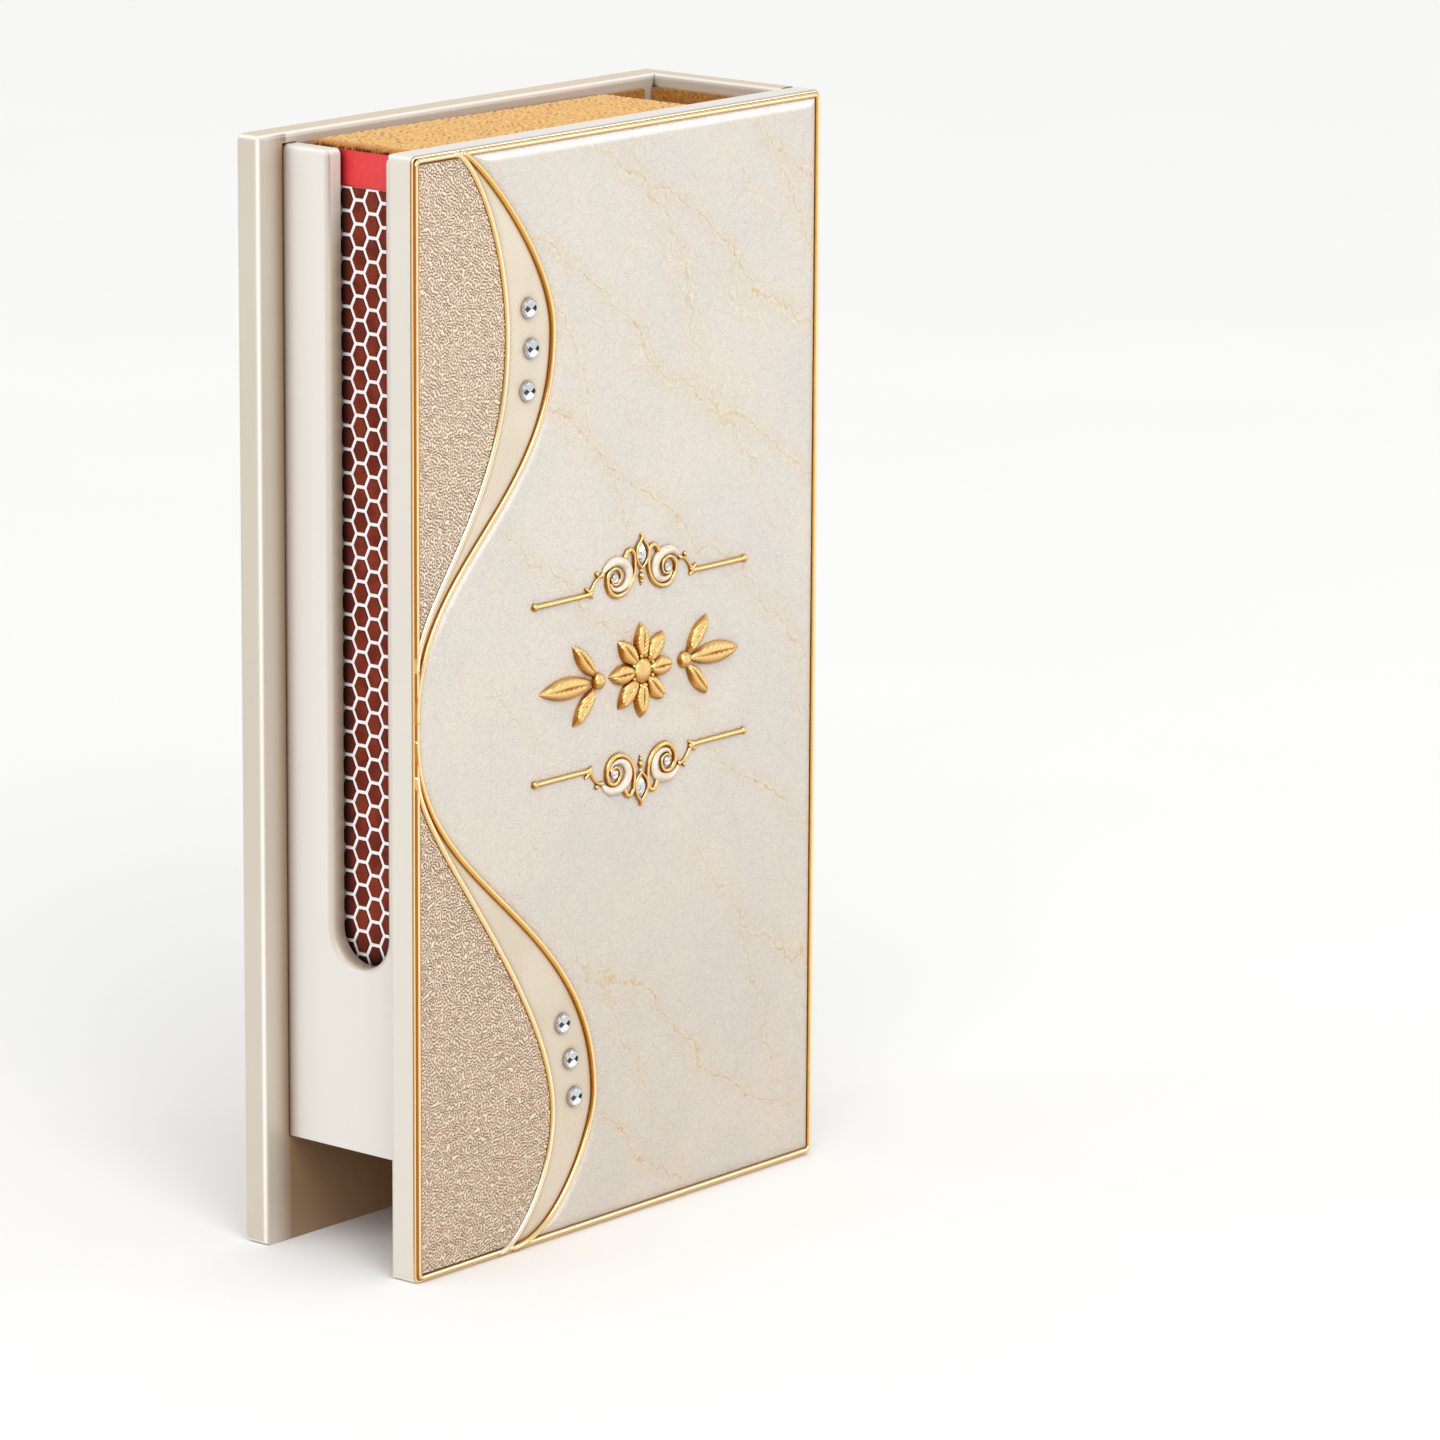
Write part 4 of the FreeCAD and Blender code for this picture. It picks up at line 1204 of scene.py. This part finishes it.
def striker(side, outward, body_material, line_material):
    """Striking strip: a white sheet with raised brown cells."""
    node = side + "_striker_strip"
    low, high = box_mm(node)
    foot_x, top_x = (low[0], high[0])[::outward]
    sheet_x = top_x - outward * cell_height
    shape = Shape()
    corners = [(low[1], low[2]), (high[1], low[2]), (high[1], high[2]), (low[1], high[2])]
    sheet = [(x, y, z) for x in (foot_x, sheet_x) for y, z in corners]
    faces = [[0, 1, 2, 3], [4, 7, 6, 5], [0, 4, 5, 1], [1, 5, 6, 2], [2, 6, 7, 3], [3, 7, 4, 0]]
    shape.add(sheet, faces, 1, -outward)
    for column in range(int((high[1] - low[1]) / cell_step) + 2):
        for row in range(int((high[2] - low[2]) / cell_rise) + 2):
            middle = (high[1] - column * cell_step, high[2] - (row + 0.5 * (column % 2)) * cell_rise)
            cell(shape, middle, low, high, sheet_x, top_x, outward)
    materials = [body_material, line_material]
    shape.piece(side + "_striker_honeycomb", "striker_coat", materials, [node], "matchbox", 30.0)


def cell(shape, middle, low, high, sheet_x, top_x, outward):
    """Raised cell of the honeycomb, cut at the strip's edges."""
    foot = hexagon(middle)
    for axis, limit, keep in ((0, low[1], 1), (0, high[1], -1), (1, low[2], 1), (1, high[2], -1)):
        foot = clipped(foot, axis, limit, keep)
    count = len(foot)
    if count < 3:
        return
    foot = np.array(foot)
    centre = foot.mean(axis=0)
    top = centre + (foot - centre) * (1 - cell_bevel)
    points = [(sheet_x, y, z) for y, z in foot] + [(top_x, y, z) for y, z in top]
    faces = [[step, (step + 1) % count, count + (step + 1) % count, count + step] for step in range(count)]
    shape.add(points, faces + [range(count, 2 * count), range(count)[::-1]], 0, outward)


def tray_end(material):
    """Rough golden end of the tray: a soft embossed pad with a fringe at its left edge."""
    low, high = tray_low, tray_high
    across, deep = np.meshgrid(*[rows_between(low[axis], high[axis], pad_pitch, pad_edge) for axis in (0, 1)])
    edge = np.min([across - low[0], high[0] - across, deep - low[1], high[1] - deep], axis=0)
    inside = np.clip(edge / pad_edge, 0, 1)
    fall = 1 - np.sqrt(1 - (1 - inside) ** 2)
    share = (across - low[0]) / (high[0] - low[0])
    crown = pad_crown[0] + (pad_crown[1] - pad_crown[0]) * share * share * (3 - 2 * share)
    ridges = pad_height * inside * winding_ridges(across, deep, pad_period)
    shape = Shape()
    shape.sheet(grid_points(across, deep, high[2] + crown * (1 - pad_edge_drop * fall) + ridges))
    fringe(shape)
    shape.piece("tray_end_pile", "golden_card", [material], body="tray")


def fringe(shape):
    """Short fibres that hang from the pad's left edge."""
    top = tray_high[2] + fringe_top_share * pad_crown[0]
    cosines, sines = turns(fringe_sides)
    ring = np.column_stack([cosines, sines, 0.3 * sines])
    for _ in range(fringe_count):
        length = random.uniform(*fringe_length)
        depth = random.uniform(tray_low[1], tray_high[1])
        lean = random.uniform(*fringe_lean)
        root = np.array([tray_low[0] + random.uniform(*fringe_root), depth, top])
        hang = np.array([random.uniform(*fringe_tip), lean, -fringe_hang_share * length])
        rings = []
        for share in (0.0, 0.4, 0.75, 1.0):
            middle = root + hang * share + np.array(fringe_bow) * math.sin(math.pi * share)
            rings.append(middle + fringe_radius * (1 - 0.8 * share) * ring)
        shape.tube(np.array(rings), -1)


def match_grid():
    """Thickness of the sticks and the middles of the matches, from the frame."""
    low, high = box_mm("match_sticks")
    depth = high[1] - low[1]
    rise = high[2] - low[2]
    pitch = (rise - depth) / (match_rows - match_layers)
    thickness = depth - (match_layers - 1) * pitch
    middles = [(low[1] + thickness / 2 + pitch * layer, low[2] + thickness / 2 + pitch * row)
               for layer in range(match_layers) for row in range(match_rows)]
    return thickness, middles


def turned_along(shape, middle, profile, sides, wobble):
    """Round form along X: a profile of places and radii, a little uneven."""
    profile = np.asarray(profile, float)
    cosines, sines = turns(sides)
    radius = profile[:, 1:] * (1 + wobble * random.uniform(-1, 1, (len(profile), sides)))
    shape.tube(grid_points(profile[:, :1], middle[0] + radius * cosines, middle[1] + radius * sines), -1)


def matches(wood, compound):
    """Round-edged sticks with drop-shaped heads."""
    thickness, middles = match_grid()
    stick_low, stick_high = box_mm("match_sticks")
    head_low, head_high = box_mm("match_heads")
    length = head_high[0] - head_low[0]
    half = thickness / 2 * stick_scale
    sticks = Shape()
    heads = Shape()
    for middle in middles:
        middle = np.array(middle) + random.uniform(-match_shift, match_shift, 2)
        end = stick_high[0] - random.uniform(0.0, stick_end_shift)
        start = stick_low[0]
        places = (start - stick_root, start + stick_straight, end - stick_straight, end - stick_bevel)
        turned_along(sticks, middle, [(x, half) for x in places] + [(end, half * 0.9)], 12, 0.03)
        radius = head_radius * random.uniform(0.94, 0.99)
        head = [(head_low[0] + length * share, radius * girth) for share, girth in head_shares]
        turned_along(heads, middle, head, 16, 0.025)
    sticks.piece("wooden_sticks", "match_wood", [wood], ["match_sticks"], "tray")
    heads.piece("striking_heads", "match_head", [compound], ["match_heads"], "tray")


def dress(nodes, material):
    """Gives carried-over nodes a material."""
    for name in nodes:
        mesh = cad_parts[name].data
        mesh.materials.clear()
        mesh.materials.append(material)


def dress_frame():
    """Finishes of the pieces that keep their own shape."""
    dress(["front_board", "floor_shelf"], lacquer("cream_lacquer", (215, 208, 196), (238, 233, 224)))
    dress(["slotted_side_wall"], lacquer("wall_lacquer", (223, 219, 212), (232, 228, 221)))
    dress(["back_board", "spine_board"], lacquer("cream_lacquer_tan_top", (199, 188, 172), (222, 198, 155)))
    dress(["front_lining", "back_lining", "spine_lining"], lining_felt())
    dress(["matchbox_sleeve"], printed_card("red_card", (216, 38, 40), (228, 50, 50), 0.25))
    dress(["matchbox_tray"], printed_card("golden_card", (196, 138, 62), (226, 172, 92), 0.0))


def build_front():
    """Leather, beads, stones, scrollwork and centre motif."""
    polished = gold("polished_gold", (196, 128, 44), (234, 176, 84), (255, 232, 178), 0.12)
    scroll = gold("scroll_gold", (164, 100, 32), (214, 153, 64), (252, 218, 150), 0.2)
    dark = gold("border_gold", (180, 106, 30), (238, 182, 90), (255, 234, 184), 0.12)
    # The pale gold's top tone is a painted highlight on its upward faces.
    pale = gold("pale_gold", (226, 180, 104), (246, 212, 148), (255, 242, 208), 0.14, top=(252, 248, 240))
    satin = gold("satin_gold", (166, 108, 42), (210, 156, 80), (246, 208, 138), 0.3, brushed=True)
    stone = crystal()
    marble_panel(marbled_leather())
    texture = textured_leather()
    plain = cream_leather()
    for half in ("upper", "lower"):
        textured_lobe(half, texture)
        crescent(half, plain)
    pipings(polished, dark, pale)
    round_stones(silver(), stone)
    scroll_gold("upper", 1, scroll)
    scroll_gold("lower", -1, scroll)
    scroll_pearls(pearl())
    scroll_stones(stone)
    centre_motif(satin)


def build_matchbox():
    """Strikers, tray end and matches."""
    coat = striking_coat()
    line = printed_card("striker_lines", (250, 250, 249), (255, 255, 255), 0.1)
    striker("left", -1, coat, line)
    striker("right", 1, coat, line)
    tray_end(golden_pile())
    matches(match_wood(), match_compound())


def add_stage():
    """Pale floor."""
    mesh = bpy.data.meshes.new("floor")
    corners = np.array([(-1, -1, 0), (1, -1, 0), (1, 1, 0), (-1, 1, 0)]) * floor_half
    mesh.from_pydata(corners * mm, [], [(0, 1, 2, 3)])
    mesh.materials.append(floor_paper())
    linked("floor", mesh)


def aim(item, direction):
    """Turns a lamp to shine in a direction."""
    item.rotation_euler = Vector(direction).to_track_quat("-Z", "Y").to_euler()


def add_lights():
    """Broad sun from the upper left, soft round lamps that face the holder, and an even pale sky."""
    sun = bpy.data.lights.new("sun", "SUN")
    sun.energy = sun_strength
    sun.angle = math.radians(sun_angle)
    aim(linked("sun", sun), -Vector(sun_from))
    middle = Vector((0, 0, board_high[2] / 2))
    for name, (place, power) in lamps.items():
        lamp = bpy.data.lights.new(name, "AREA")
        lamp.shape = "DISK"
        lamp.size = lamp_size * mm
        lamp.energy = power
        item = linked(name, lamp)
        item.location = Vector(place) * mm
        aim(item, middle - Vector(place))
    world = bpy.data.worlds.new("pale_sky")
    world.use_nodes = True
    sky = world.node_tree.nodes["Background"].inputs
    sky["Color"].default_value = (1.0, 1.0, 1.0, 1.0)
    sky["Strength"].default_value = sky_strength
    bpy.context.scene.world = world
    bpy.context.scene.view_settings.view_transform = "Standard"


def add_camera():
    """Camera at the photograph's place."""
    data = bpy.data.cameras.new("camera")
    data.lens = camera_lens
    data.sensor_width = camera_sensor
    data.clip_end = camera_reach
    camera = linked("camera", data)
    camera.location = Vector(camera_place) * mm
    heading = Euler((math.radians(90 - camera_elevation), 0, math.radians(-camera_azimuth))).to_matrix()
    roll = Euler((0, 0, math.radians(camera_roll))).to_matrix()
    camera.rotation_euler = (heading @ roll).to_euler()
    bpy.context.scene.camera = camera


dress_frame()
build_front()
build_matchbox()
add_stage()
add_lights()
add_camera()
